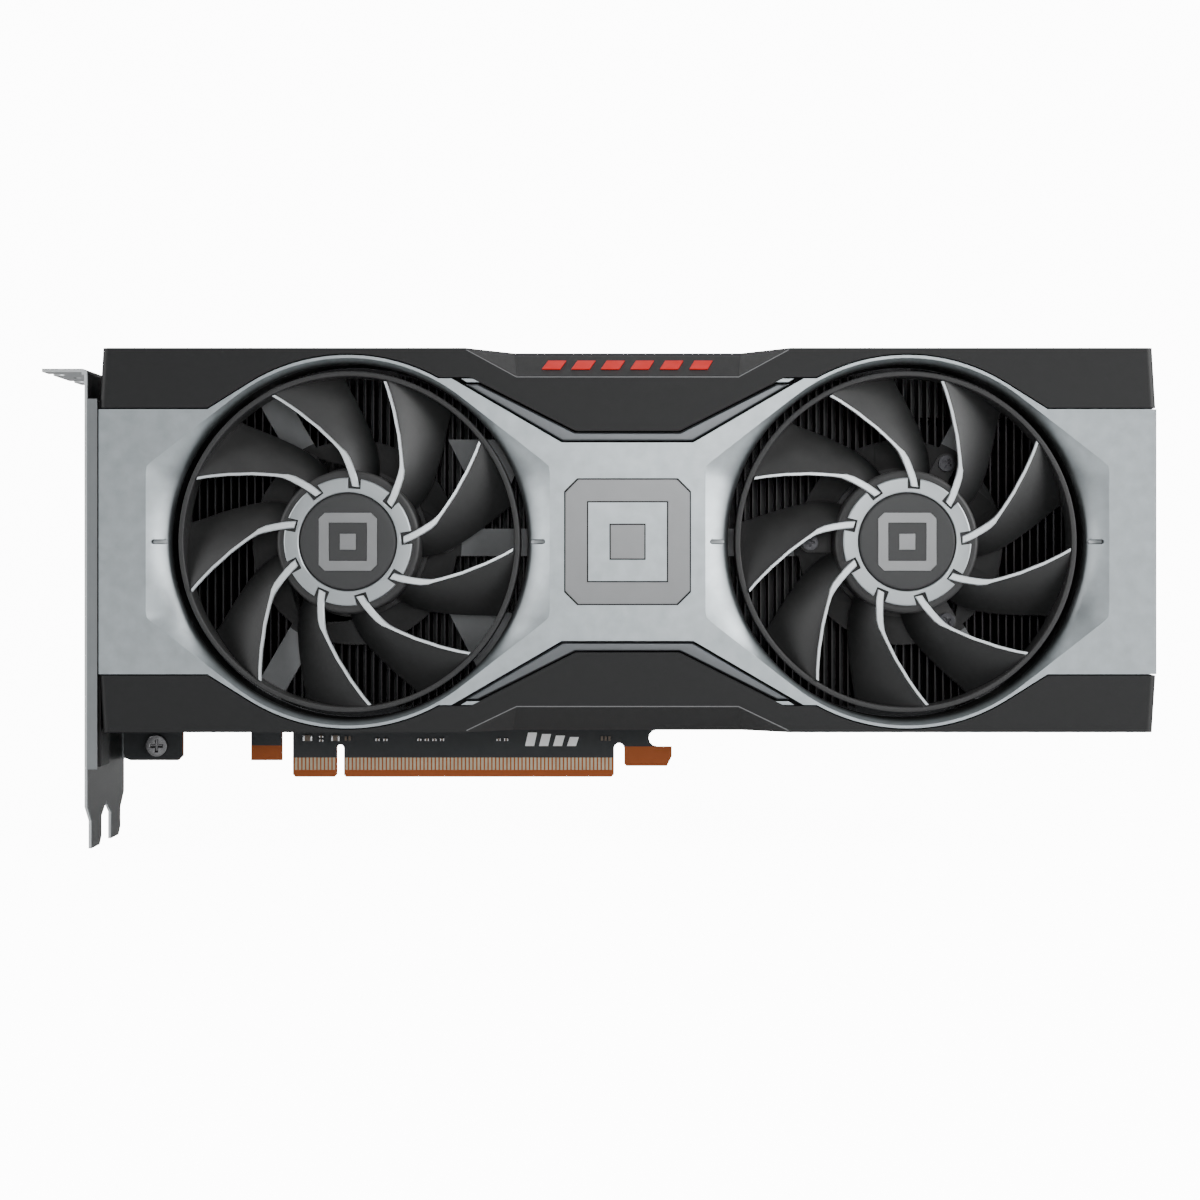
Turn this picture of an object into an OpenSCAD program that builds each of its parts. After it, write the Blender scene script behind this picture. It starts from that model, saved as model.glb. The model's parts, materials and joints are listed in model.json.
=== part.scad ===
// Dual-fan graphics card. X runs along the card from the slot bracket to the tail, Y from the
// fans (-Y) to the backplate (+Y), Z up. The origin is the slot key: the middle of the key notch,
// at the tips of the edge contacts, half-way through the board.

/* [Card] */
// Length from the bracket's outer face to the tail end
card_len = 267; // [262:1:275]
// Distance from the slot key to the bracket's outer face
key_to_bracket = 59.05; // [58.5:0.05:59.5]
// Depth from the front plane to the board's front face
front_depth = 34.8; // [34.4:0.1:35.4]
// Whole thickness from the front plane to the backplate's outer face
card_depth = 40; // [39.8:0.1:41]
// Height of the fan axes above the tips of the edge contacts
fan_z = 62; // [61:0.5:63]

/* [Shroud] */
// Half the distance between the two fan axes
fan_dx = 69.7; // [69:0.1:71]
// Half the height of the metal band at both ends
band_w = 33; // [31:0.5:35]
// Half the height of the metal plate at its waist
waist_w = 24.7; // [23.5:0.1:25.5]
// Half the length of the flat part of the waist
waist_u = 16.4; // [14:0.2:18]
// Height of the top skirt's side above the fan axes
skirt_top = 48.3; // [48:0.1:49]
// Drop of the bottom skirt's side below the fan axes
skirt_bottom = 47.5; // [47.2:0.1:48.5]
// Sheet thickness of the metal plate
plate_t = 1.5; // [1.2:0.1:1.8]
// Gap between neighbouring shroud pieces
seam = 0.35; // [0.2:0.05:0.5]

/* [Fans] */
// Radius of the hole in the shroud around a fan
duct_r = 44.6; // [44.3:0.1:45]
// Outer radius of the ring round the blades
ring_r = 42.8; // [42:0.1:43.2]
// Number of blades on a fan
blade_count = 9; // [7:1:11]
// Angle that a blade covers, seen along its axis
blade_chord = 24; // [20:1:26]
// Outer radius of the bright ring on the hub
hub_ring_r = 16; // [15.5:0.1:16.2]
// Radius of the dark cap in the middle of the hub
hub_cap_r = 12.1; // [11.5:0.1:12.5]

/* [Cooler] */
// Distance from one fin to the next
fin_pitch = 2.03; // [1.8:0.01:2.6]
// Thickness of a fin
fin_t = 0.35; // [0.3:0.05:0.5]
// Width of a flattened heat pipe
pipe_w = 6; // [5:0.5:7]

/* [Board] */
// Board thickness
board_t = 1.57; // [1.5:0.01:1.6]
// Distance from the board's own lower edge down to the contact tips
finger_drop = 12.5; // [12:0.1:13]
// Length of the short run of contacts
short_run = 11.65; // [11.6:0.05:11.7]
// Length of the long run of contacts
long_run = 71.65; // [71.6:0.05:71.7]
// Width of the key notch
key_w = 1.9; // [1.8:0.05:2]

/* [Bracket] */
// Sheet thickness of the slot bracket
bracket_t = 0.86; // [0.8:0.02:1]
// Width of the two-slot bracket
bracket_w = 38.74; // [38.4:0.02:39]
// Height from the tongue tips to the top of the flange
bracket_h = 120.02; // [119.8:0.02:120.4]
// Distance between two neighbouring slots
slot_pitch = 20.32; // [20.3:0.01:20.34]
// Width of the notch for a slot screw
screw_notch_w = 4.42; // [4.2:0.02:4.6]

/* [Hidden] */
$fn = 64;
front_y = -board_t / 2 - front_depth;
bracket_x = -key_to_bracket;
tail_x = bracket_x + card_len;
bracket_gap = 3.5;
half_len = (card_len - bracket_gap) / 2;
mid_x = tail_x - half_len;
fan_sides = [-1, 1];

// shroud outline, u along the card from its middle and w up from the fan axes
rim_r = duct_r + 1.9;
rim_tangent = 32;
ear_angle = 29;
tangent_point = [fan_dx + rim_r * sin(rim_tangent), rim_r * cos(rim_tangent)];
band_corner = [tangent_point[0] + (tangent_point[1] - band_w) / tan(rim_tangent), band_w];
ear_w = rim_r * cos(ear_angle) - 0.1;
ear_outer = [fan_dx - rim_r * sin(ear_angle), ear_w];
ear_inner = [ear_outer[0] - 3.3, ear_w];
waist = [waist_u, waist_w];
corner_r = 1.8;
cheek_depth = [12, 30];
end_taper = 0.9;
post_r = 1.8;

// skirts
skirt_t = 2;
side_t = 1.3;
skirt_depth = 24;
panel_w = waist_w + 2.9;
panel_u = waist_u - 3.5;
panel_end_u = 39.3;
bevel_w = 41.3;
bevel_u = 27.6;
bevel_reach = 12.9;
bevel_depth_top = 13.7;
bevel_depth_bottom = 8;
badge_count = 6;
badge_pitch = 7.4;
post_u = [fan_dx - 22.5, fan_dx + 22.5, half_len - 6];
post_w = 43.8;

// scoops round the fan openings
scoop_u = 50.3;
scoop_w = 18.9;
scoop_r = duct_r + 1.2;
scoop_depth = 4;
scoop_wall = 1;
mark_u = 47.3;

// depths behind the front plane
frame_front = 5;
frame_sheet = 1.6;
arm_front = 14.2;
arm_back = 15.8;
base_front = 12.9;
rotor_back = 12.4;
ring_front = 2.4;
ring_back = 11;
fins_front = 16.4;
fins_back = 26.6;
pipe_t = 4;
plate_back = 32.8;
frame_plate = [31.2, 32.6];
duct_wall = 1.2;

// motor
ear_r = 23.2;
ear_hole_r = 1.3;
shaft_r = 1.5;
bearing_r = 3.2;
cup_r = 15.5;
hub_r = 18;

// board outline
tab_z = 4.4;
hook_z = [2.9, 8.05];
key_end = key_w / 2 + long_run;
short_end = -key_w / 2 - short_run;
hook_gap = 2.7;
hook_x = [key_end + hook_gap, key_end + hook_gap + 12.65];
catch_r = 2.25;
board_x = [bracket_x + bracket_t + 0.7, tail_x - 8];
board_top = 104;
bracket_tab_x = [board_x[0], -41.8];
guide_tab_x = [-23.7, -15.5];
screw_spots = [[-48.5, 8.4], [-50, 97]];

// processor and its surroundings
gpu = [32, 60];
package_t = 1.2;
chip_t = 1.2;
cold_plate_w = 56;
retention_pitch = 50;
memory_spots = [[-36, -15], [-36, 15], [36, -15], [36, 15], [-10, 35], [10, 35]];
choke_w = 8;
choke_h = 3.4;
board_holes = [[-36, 98], [112, 98], [196, 88], [-36, 18], [112, 18], [196, 18]];
board_hole_r = 1.6;
vrm_columns = [-30, 92];
vrm_rows = [30 : 11 : 85];

// power sockets: left edge and number of columns
sockets = [[150, 4], [171.5, 3]];
socket_pitch = 4.2;
socket_depth = 9.8;
socket_z = [94.5, 108];
socket_back = front_depth;

// outputs, stacked along the bracket
port_z = [25, 45, 65, 84];
port_len = 17;
port_size = [[17.2, 5.6], [17.2, 5.6], [17.2, 5.6], [15.2, 5.7]];
port_out = 0.4;
port_wall = 0.45;

// bracket
bracket_top = 105.1;
flange_len = 11.43 - bracket_t;
tongue_z = bracket_top - bracket_h;
tongue_w = 10.19;
tongue_in = 4.1;
taper_z = [-4, -7.9];
lip_w = 3.2;
lip_z = [5.3, 97.6];

// a flat outline in X and Z, given a depth range behind the front plane
module slab(d0, d1) {
    translate([0, front_y + d1, 0]) rotate([90, 0, 0]) linear_extrude(d1 - d0) children();
}
module at_shroud() { translate([mid_x, 0, fan_z]) children(); }
module at_fan(side) { translate([mid_x + side * fan_dx, 0, fan_z]) children(); }
// a disc or tube about a Y axis
module drum(r, d0, d1, r_end = undef) {
    end = is_undef(r_end) ? r : r_end;
    translate([0, front_y + d1, 0]) rotate([90, 0, 0]) cylinder(h = d1 - d0, r1 = end, r2 = r);
}
// the crossed slots in a screw's head, `reach` from the middle and `half` of a slot wide
module screw_cross(reach, half, d) {
    for (turn = [0, 90]) rotate([0, turn, 0]) block([-reach, reach], d, [-half, half]);
}
// a box from its lowest and highest corners, with depths behind the front plane
module block(x, d, z) {
    translate([x[0], front_y + d[0], z[0]]) cube([x[1] - x[0], d[1] - d[0], z[1] - z[0]]);
}
function flip_u(points) = [for (i = [len(points) - 1 : -1 : 0]) [-points[i][0], points[i][1]]];
function flip_w(points) = [for (i = [len(points) - 1 : -1 : 0]) [points[i][0], -points[i][1]]];
function both_sides(points) = concat(points, flip_u(points));
function polar(r, a) = [r * cos(a), r * sin(a)];

// ---- shroud ----
plate_quarter = [[half_len, band_w], band_corner, tangent_point, ear_outer, ear_inner, waist];
plate_half = both_sides(plate_quarter);
module plate_outline() { polygon(concat(plate_half, flip_w(plate_half))); }

// the octagon-like hollow that leads down to a fan, lifted by `up` and widened by `grow`
module scoop(up, grow, depth) {
    hull() {
        slab(-up - 0.02, -up) {
            circle(r = scoop_r + grow, $fn = 96);
            for (u = [-1, 1], w = [-1, 1])
                translate([u * (scoop_u - 1.5), w * (scoop_w - 1.5)]) circle(r = 1.5 + grow, $fn = 16);
        }
        slab(depth - 0.02, depth) circle(r = duct_r + grow, $fn = 96);
    }
}

// the front corners of the card rolled over with a small radius
module rolled_block() {
    length = 2 * half_len;
    translate([-half_len, front_y + corner_r, -60]) cube([length, 60, 120]);
    translate([corner_r - half_len, front_y, -60]) cube([length - 2 * corner_r, 60, 120]);
    for (side = fan_sides)
        translate([side * (half_len - corner_r), front_y + corner_r, -60]) cylinder(r = corner_r, h = 120);
}

module emblem(size, stroke, core, grow = 0) {
    cut = stroke * 0.6;
    s = size / 2 + grow;
    inner = size / 2 - stroke - grow;
    difference() {
        polygon([[cut - s, -s], [s - cut, -s], [s, cut - s], [s, s - cut],
            [s - cut, s], [cut - s, s], [-s, s - cut], [-s, cut - s]]);
        square(2 * inner, center = true);
    }
    square(core + 2 * grow, center = true);
}

module face_plate() {
    color([0.72, 0.75, 0.76]) at_shroud() difference() {
        union() {
            intersection() {
                union() {
                    slab(0, plate_t) plate_outline();
                    for (side = [0, 1])
                        block([side ? half_len - plate_t : -half_len, side ? half_len : plate_t - half_len],
                            [0, cheek_depth[side]], [-band_w, band_w]);
                }
                rolled_block();
            }
            for (side = fan_sides) translate([side * fan_dx, 0, 0]) {
                drum(rim_r, 0, plate_t);
                drum(duct_r + 1, scoop_depth, scoop_depth + scoop_wall);
                scoop(0, 0, scoop_depth + scoop_wall);
            }
            for (w = [-1, 1]) translate([0, 0, w * 19]) drum(post_r, 1, frame_front);
        }
        for (side = fan_sides) translate([side * fan_dx, 0, 0]) {
            scoop(scoop_wall, 0, scoop_depth);
            drum(duct_r, -1, scoop_depth + 2 * scoop_wall);
            for (end = fan_sides) translate([end * mark_u, 0, 0]) slab(-1, 1.6) mark(0.15);
        }
        slab(-1, 0.9) emblem(31, 5.4, 8.4, 0.2);
    }
}

module mark(grow) {
    length = 3.6;
    width = 1.1;
    square([length - width, width + 2 * grow], center = true);
    for (end = fan_sides) translate([end * (length - width) / 2, 0]) circle(r = width / 2 + grow, $fn = 24);
}
module plate_marks() {
    color([0.55, 0.57, 0.58]) for (side = fan_sides, end = fan_sides)
        at_fan(side) translate([end * mark_u, 0, 0]) slab(1.2, 1.6) mark(0);
}
module centre_emblem() {
    color([0.6, 0.6, 0.6]) at_shroud() slab(0.05, 0.9) emblem(31, 5.4, 8.4);
}

// outline of the upper skirt's front, whose side stands `top` above the fan axes
function skirt_quarter(top) = [
    [half_len - end_taper, top],
    [half_len, band_w + seam],
    [band_corner[0] + seam * sin(rim_tangent), band_w + seam],
    [tangent_point[0] + seam * sin(rim_tangent), tangent_point[1] + seam * cos(rim_tangent)],
    [ear_outer[0], ear_w + seam],
    [panel_end_u, ear_w + seam],
    [panel_u, panel_w]
];
// the corners of the sloping facet in the middle of a skirt
function bevel_points(top, depth) = [for (side = fan_sides, p = [
        [bevel_u, 0, bevel_w], [bevel_u + bevel_reach, 0, top], [bevel_u + 1.3, depth, top]])
    [side * p[0], front_y + p[1], p[2]]];
// a hull of small blocks that reach from each corner by [front, back] in depth and [down, up] in height
module bevel_hull(points, half, d, w) {
    hull() for (p = points) translate([p[0] - half, p[1] + d[0], p[2] + w[0]])
        cube([2 * half, d[1] - d[0], w[1] - w[0]]);
}
module skirt(top, depth) {
    points = bevel_points(top, depth);
    side = [end_taper - half_len, half_len - end_taper];
    difference() {
        union() {
            slab(0, skirt_t) polygon(both_sides(skirt_quarter(top)));
            block(side, [0, skirt_depth], [top - side_t, top]);
            for (end = [0, 1]) mirror([1 - end, 0, 0]) slab(0, cheek_depth[end])
                polygon([[half_len - skirt_t - end_taper, top], [half_len - skirt_t, band_w + seam],
                    [half_len, band_w + seam], [half_len - end_taper, top]]);
            for (side = fan_sides, u = post_u) translate([side * u, 0, post_w]) drum(post_r, 1, frame_front);
            intersection() {
                bevel_hull(points, 0.9, [-1, 1.6], [-1.6, 1]);
                block(side, [0, skirt_depth], [bevel_w - 4, top]);
            }
        }
        for (side = fan_sides) translate([side * fan_dx, 0, 0]) drum(rim_r + seam, -1, frame_front + 1);
        bevel_hull(points, 0.5, [-3, 0], [0, 3]);
    }
}
module top_skirt() { color([0.07, 0.07, 0.075]) at_shroud() skirt(skirt_top, bevel_depth_top); }
module bottom_skirt() {
    color([0.07, 0.07, 0.075]) at_shroud() mirror([0, 0, 1]) skirt(skirt_bottom, bevel_depth_bottom);
}

// the metal strip along the waist, between the plate and a skirt
trim_half = [[panel_u + 0.2, panel_w - seam], [panel_end_u - 3.7, ear_w - 1.9],
    [panel_end_u - 0.5, ear_w - 1.9], [waist_u - 0.4, waist_w + 0.8]];
module trim() {
    slab(0.6, frame_front) polygon(both_sides(trim_half));
}
module upper_trim() { color([0.5, 0.52, 0.53]) at_shroud() trim(); }
module lower_trim() { color([0.5, 0.52, 0.53]) at_shroud() mirror([0, 0, 1]) trim(); }

// slanted bars laid on the sloping facet of the top skirt
module badge_bars() {
    slope = atan2(bevel_depth_top, skirt_top - bevel_w);
    color([0.75, 0.06, 0.05]) at_shroud() translate([0, front_y, bevel_w]) rotate([-slope, 0, 0])
        translate([0, 0, 4.2]) for (i = [0 : badge_count - 1])
            translate([(i - (badge_count - 1) / 2) * badge_pitch, 0, 0]) rotate([90, 0, 0])
                linear_extrude(0.3) polygon([[-3, 0], [1.6, 0], [3, 5.6], [-1.6, 5.6]]);
}

// ---- fan support ----
ear_angles = [0, 120, 240];
// webs beside the arms, from the fan's axis, for the left fan
web_shapes = [[[23.8, 26.3], [36.5, 26.3], [41, 18], [38, 9], [30, 14]],
    [[24, -18], [40, -18], [40, -22], [31.5, -32.5]]];
function arm_turn(side, a) = side < 0 ? a : 180 - a;
module inner_frame() {
    color([0.09, 0.09, 0.095]) at_shroud() intersection() {
        difference() {
            union() {
                slab(frame_front, frame_front + frame_sheet) square([2 * half_len - 7, 92], center = true);
                for (side = fan_sides) translate([side * fan_dx, 0, 0]) {
                    drum(duct_r + duct_wall, frame_front, arm_back);
                }
                for (u = [-half_len + 9, 0, half_len - 9], w = [-1, 1])
                    translate([u, 0, w * (u == 0 ? 36 : 43)]) drum(2.5, frame_front, fins_front);
            }
            for (side = fan_sides) translate([side * fan_dx, 0, 0]) difference() {
                drum(duct_r, 0, arm_back + 1);
                drum(ear_r + 3, arm_front, arm_back);
                for (a = ear_angles) rotate([0, -arm_turn(side, a), 0])
                    block([0, duct_r + 0.6], [arm_front, arm_back], [-3.5, 3.5]);
                if (side < 0) for (web = web_shapes) slab(arm_front, arm_back) polygon(web);
            }
            for (w = [40, -60]) block([-42, 42], [0, 10], [w, w + 18]);
            for (side = fan_sides) translate([side * fan_dx, 0, 0]) {
                for (a = ear_angles) rotate([0, -arm_turn(side, a), 0]) translate([ear_r, 0, 0])
                    drum(ear_hole_r, 0, arm_back + 1);
                for (a = ear_angles) rotate([0, -arm_turn(side, a + 60), 0]) translate([13, 0, 0])
                    drum(4.5, arm_front - 1, arm_back + 1);
            }
        }
        block([-half_len, half_len], [0, fins_front], [-46.05, 46.85]);
    }
}
module motor_base(side) {
    base_back = arm_front;
    color([0.28, 0.28, 0.29]) at_fan(side) difference() {
        union() {
            drum(hub_r + 1, base_front, base_back);
            drum(bearing_r + 1.1, 5.8, base_back);
            for (a = ear_angles) rotate([0, -arm_turn(side, a), 0]) {
                block([hub_r - 1, ear_r], [base_front, base_back], [-2.6, 2.6]);
                translate([ear_r, 0, 0]) drum(2.6, base_front, base_back);
            }
        }
        drum(bearing_r, 0, base_back - 0.5);
        for (a = ear_angles) rotate([0, -arm_turn(side, a), 0]) translate([ear_r, 0, 0])
            drum(ear_hole_r, 0, base_back + 1);
    }
}
module motor_base_left() { motor_base(-1); }
module motor_base_right() { motor_base(1); }
module motor_screws() {
    color([0.2, 0.2, 0.2]) for (side = fan_sides) at_fan(side)
        for (a = ear_angles) rotate([0, -arm_turn(side, a), 0]) translate([ear_r, 0, 0]) difference() {
            union() {
                drum(2.1, base_front - 1, base_front);
                drum(ear_hole_r - 0.1, base_front - 0.1, arm_back);
            }
            screw_cross(1.1, 0.25, [base_front - 2, base_front - 0.4]);
        }
}

// ---- fans ----
blade_r = [17, 20, 25, 30, 35, 39, 42.2];
blade_steps = [0, 0.12, 0.4, 0.7, 1];
hub_front = 1.2;
hub_wall = 2;
function lead_angle(r) = lookup(r, [[13.9, 85.5], [22.9, 95.5], [27, 102], [32, 108.5], [37, 113.6],
    [41.8, 118]]);
function lead_depth(r) = hub_front + 0.12 + max(0, r - hub_r) * 0.058;
function at_depth(r, a, d) = [r * cos(a), front_y + d, r * sin(a)];
function blade_depth(r, c) = lead_depth(r) + 8.3 * max(0, c - 0.12) / 0.88 * (1.15 - 0.15 * c);
// a thin solid between two grids of points with the same rows and columns
module shell(front, back) {
    rows = len(front);
    cols = len(front[0]);
    n = rows * cols;
    function at(i, j) = i * cols + j;
    points = concat([for (row = front) each row], [for (row = back) each row]);
    faces = concat(
        [for (i = [0 : rows - 2], j = [0 : cols - 2]) each [
            [at(i, j), at(i, j + 1), at(i + 1, j + 1)], [at(i, j), at(i + 1, j + 1), at(i + 1, j)],
            [n + at(i, j), n + at(i + 1, j + 1), n + at(i, j + 1)],
            [n + at(i, j), n + at(i + 1, j), n + at(i + 1, j + 1)]]],
        [for (i = [0 : rows - 2]) each [
            [at(i, 0), at(i + 1, 0), n + at(i + 1, 0)], [at(i, 0), n + at(i + 1, 0), n + at(i, 0)],
            [at(i + 1, cols - 1), at(i, cols - 1), n + at(i, cols - 1)],
            [at(i + 1, cols - 1), n + at(i, cols - 1), n + at(i + 1, cols - 1)]]],
        [for (j = [0 : cols - 2]) each [
            [at(0, j + 1), at(0, j), n + at(0, j)], [at(0, j + 1), n + at(0, j), n + at(0, j + 1)],
            [at(rows - 1, j), at(rows - 1, j + 1), n + at(rows - 1, j + 1)],
            [at(rows - 1, j), n + at(rows - 1, j + 1), n + at(rows - 1, j)]]]);
    polyhedron(points, faces);
}
module blade() {
    front = [for (r = blade_r) [for (c = blade_steps)
        at_depth(r, lead_angle(r) - c * blade_chord, blade_depth(r, c))]];
    back = [for (r = blade_r) [for (c = blade_steps)
        at_depth(r, lead_angle(r) - c * blade_chord, blade_depth(r, c) + 1.3 - 0.4 * c)]];
    shell(front, back);
}
module rotor(side) {
    color([0.13, 0.13, 0.14]) at_fan(side) {
        difference() {
            drum(hub_r, hub_front, rotor_back);
            drum(cup_r, hub_front + hub_wall, rotor_back + 1);
        }
        difference() {
            drum(3, hub_front + 1, 5.2);
            drum(shaft_r, hub_front + hub_wall, 6);
        }
        difference() {
            drum(ring_r, ring_front, ring_back);
            drum(ring_r - 1.3, ring_front - 1, ring_back + 1);
        }
    }
}
module rotor_left() { rotor(-1); }
module rotor_right() { rotor(1); }
module fan_blades(side) {
    color([0.15, 0.15, 0.16]) at_fan(side)
        for (k = [0 : blade_count - 1]) rotate([0, -k * 360 / blade_count, 0]) blade();
}
module fan_blades_left() { fan_blades(-1); }
module fan_blades_right() { fan_blades(1); }
edge_r = [13.9, 16.5, hub_r, 22.9, 27, 32, 37, 41];
function edge_width(r) = r < 23 ? 2.3 : 1.1;
module blade_edges(side) {
    function row(r, lift) = [for (c = [0, 1])
        at_depth(r, lead_angle(r) - c * edge_width(r) / r * 180 / PI, lead_depth(r) - lift)];
    color([0.72, 0.75, 0.76]) at_fan(side)
        for (k = [0 : blade_count - 1]) rotate([0, -k * 360 / blade_count, 0])
            shell([for (r = edge_r) row(r, 0.9)], [for (r = edge_r) row(r, 0.16)]);
}
module blade_edges_left() { blade_edges(-1); }
module blade_edges_right() { blade_edges(1); }
module hub_ring(side) {
    color([0.75, 0.77, 0.78]) at_fan(side) difference() {
        drum(hub_ring_r, 0, hub_front);
        drum(hub_cap_r + 0.15, -1, hub_front + 1);
        for (k = [0 : blade_count - 1]) rotate([0, -lead_angle(15) - k * 360 / blade_count, 0])
            block([13.6, 17], [-1, hub_front + 1], [-2.9, 0.9]);
    }
}
module hub_ring_left() { hub_ring(-1); }
module hub_ring_right() { hub_ring(1); }
module hub_cap(side) {
    color([0.2, 0.2, 0.21]) at_fan(side) difference() {
        drum(hub_cap_r, 0.1, hub_front);
        slab(0, 0.4) emblem(10.5, 1.8, 2.9, 0.05);
    }
}
module hub_cap_left() { hub_cap(-1); }
module hub_cap_right() { hub_cap(1); }
module hub_emblem(side) { color([0.7, 0.72, 0.73]) at_fan(side) slab(0.05, 0.4) emblem(10.5, 1.8, 2.9); }
module hub_emblem_left() { hub_emblem(-1); }
module hub_emblem_right() { hub_emblem(1); }
module rotor_magnet(side) {
    color([0.15, 0.13, 0.12]) at_fan(side) difference() {
        drum(cup_r, 3.6, 12);
        drum(cup_r - 1.5, 3, 13);
    }
}
module rotor_magnet_left() { rotor_magnet(-1); }
module rotor_magnet_right() { rotor_magnet(1); }
module rotor_shaft(side) { color([0.8, 0.8, 0.8]) at_fan(side) drum(shaft_r, hub_front + hub_wall, 13.3); }
module rotor_shaft_left() { rotor_shaft(-1); }
module rotor_shaft_right() { rotor_shaft(1); }
module motor_stator(side) {
    color([0.6, 0.35, 0.15]) at_fan(side) difference() {
        union() {
            drum(6.5, 6.4, 11.6);
            difference() {
                drum(13.1, 6.8, 11.2);
                drum(11.6, 6, 12);
                for (a = [45 : 90 : 315]) rotate([0, a, 0]) block([10, 14], [6, 12], [-1.5, 1.5]);
            }
            for (a = [0 : 90 : 270]) rotate([0, a, 0]) block([5, 12], [6.2, 11.8], [-3, 3]);
        }
        drum(bearing_r + 1.15, 5, 13);
    }
}
module motor_stator_left() { motor_stator(-1); }
module motor_stator_right() { motor_stator(1); }
module motor_bearing(side) {
    color([0.65, 0.5, 0.3]) at_fan(side) difference() {
        drum(bearing_r - 0.02, 5.8, 13.2);
        drum(shaft_r + 0.03, 5, 14);
    }
}
module motor_bearing_left() { motor_bearing(-1); }
module motor_bearing_right() { motor_bearing(1); }

// ---- cooler ----
fins_x = [-44, 196];
fins_z = [19.5, 105.5];
fin_count = floor((fins_x[1] - fins_x[0]) / fin_pitch);
// the side of a comb: a thin base sheet with one tooth for each fin
function tooth(x) = [[x, front_y + fins_front], [x + fin_t, front_y + fins_front],
    [x + fin_t, front_y + fins_back - 0.4], [x + fin_pitch, front_y + fins_back - 0.4]];
comb = concat([[fins_x[0], front_y + fins_back]],
    [for (i = [0 : fin_count]) each tooth(fins_x[0] + i * fin_pitch)],
    [[fins_x[0] + (fin_count + 1) * fin_pitch, front_y + fins_back]]);
module fin_stack() {
    color([0.78, 0.79, 0.8]) difference() {
        translate([0, 0, fins_z[0]]) linear_extrude(fins_z[1] - fins_z[0]) polygon(comb);
        block([sockets[0][0] - 3, tail_x - 6], [23.5, 40], [socket_z[0] - 2, 120]);
    }
}

// heat pipes: height at the cold plate, the way they turn, and the length of the slanted run
pipe_bend = 12;
pipe_turn = 35;
pipe_start = -70;
pipe_end = 160;
pipe_routes = [[15, 1, 16], [5, 1, 2], [-5, -1, 2], [-15, -1, 16]];
// middle line of a pipe as [x, z, heading] stations, with z growing towards the turn
function pipe_stations(slant) = let (c = cos(pipe_turn), t = sin(pipe_turn), x1 = 38,
        x2 = x1 + pipe_bend * t + slant * c, z2 = pipe_bend * (1 - c) + slant * t, x3 = x2 + pipe_bend * t)
    concat([[pipe_start, 0, 0]],
        [for (a = [0 : 5 : pipe_turn]) [x1 + pipe_bend * sin(a), pipe_bend * (1 - cos(a)), a]],
        [for (a = [pipe_turn : -5 : 0]) [x3 - pipe_bend * sin(a), z2 + pipe_bend * (cos(a) - c), a]],
        [[pipe_end, z2 + pipe_bend * (1 - c), 0]]);
function beside(stations, w) = [for (p = stations) [p[0] - w * sin(p[2]), p[1] + w * cos(p[2])]];
module pipe_layer(route, w, t) {
    stations = pipe_stations(route[2]);
    left = beside(stations, w / 2);
    right = beside(stations, -w / 2);
    middle = fins_back + pipe_t / 2;
    translate([gpu[0], 0, gpu[1] + route[0]]) mirror([0, 0, route[1] < 0 ? 1 : 0])
        slab(middle - t / 2, middle + t / 2)
            polygon(concat(left, [for (i = [len(right) - 1 : -1 : 0]) right[i]]));
}
module heat_pipes() {
    color([0.72, 0.45, 0.3]) for (route = pipe_routes) {
        pipe_layer(route, pipe_w, pipe_t - 1.4);
        pipe_layer(route, pipe_w - 1, pipe_t);
    }
}
module cold_plate() {
    color([0.75, 0.5, 0.38]) translate([gpu[0], 0, gpu[1]]) {
        w = cold_plate_w / 2;
        difference() {
            block([-w, w], [fins_back, plate_back], [-w, w]);
            for (route = pipe_routes)
                block([-w - 1, w + 1], [fins_back - 1, fins_back + pipe_t],
                    [route[0] - pipe_w / 2 - 0.05, route[0] + pipe_w / 2 + 0.05]);
            for (x = [-1, 1], z = [-1, 1]) translate([x, 0, z] * retention_pitch / 2)
                drum(1.25, plate_back - 4, 50);
        }
        for (x = [-1, 1], z = [-1, 1]) translate([x, 0, z] * retention_pitch / 2) difference() {
            drum(2.4, plate_back - 0.1, front_depth);
            drum(1.25, plate_back - 1, 50);
        }
    }
}
module cooler_frame() {
    color([0.12, 0.12, 0.13]) difference() {
        block([gpu[0] - 57, gpu[0] + 55], frame_plate, [22, 102]);
        block([gpu[0] - 28.6, gpu[0] + 28.6], [30, 34], [gpu[1] - 28.6, gpu[1] + 28.6]);
    }
    color([0.12, 0.12, 0.13]) for (x = [gpu[0] - 54, gpu[0] + 52], z = [24.2, 99]) translate([x, 0, z])
        drum(2, frame_plate[1], front_depth);
    color([0.12, 0.12, 0.13]) for (x = [gpu[0] - 50, gpu[0] + 48])
        block([x - 2, x + 2], [fins_back, frame_plate[0]], [23, 33]);
}
power_stage_x = [vrm_columns[0] + 10, vrm_columns[1] - 10];
module thermal_pads() {
    color([0.7, 0.72, 0.76]) {
        for (spot = memory_spots) chip(gpu + spot, [13, 11], [frame_plate[1], front_depth - chip_t]);
        for (x = power_stage_x, z = vrm_rows)
            chip([x, z], [5, 6], [frame_plate[1], front_depth - chip_t]);
    }
}

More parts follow.
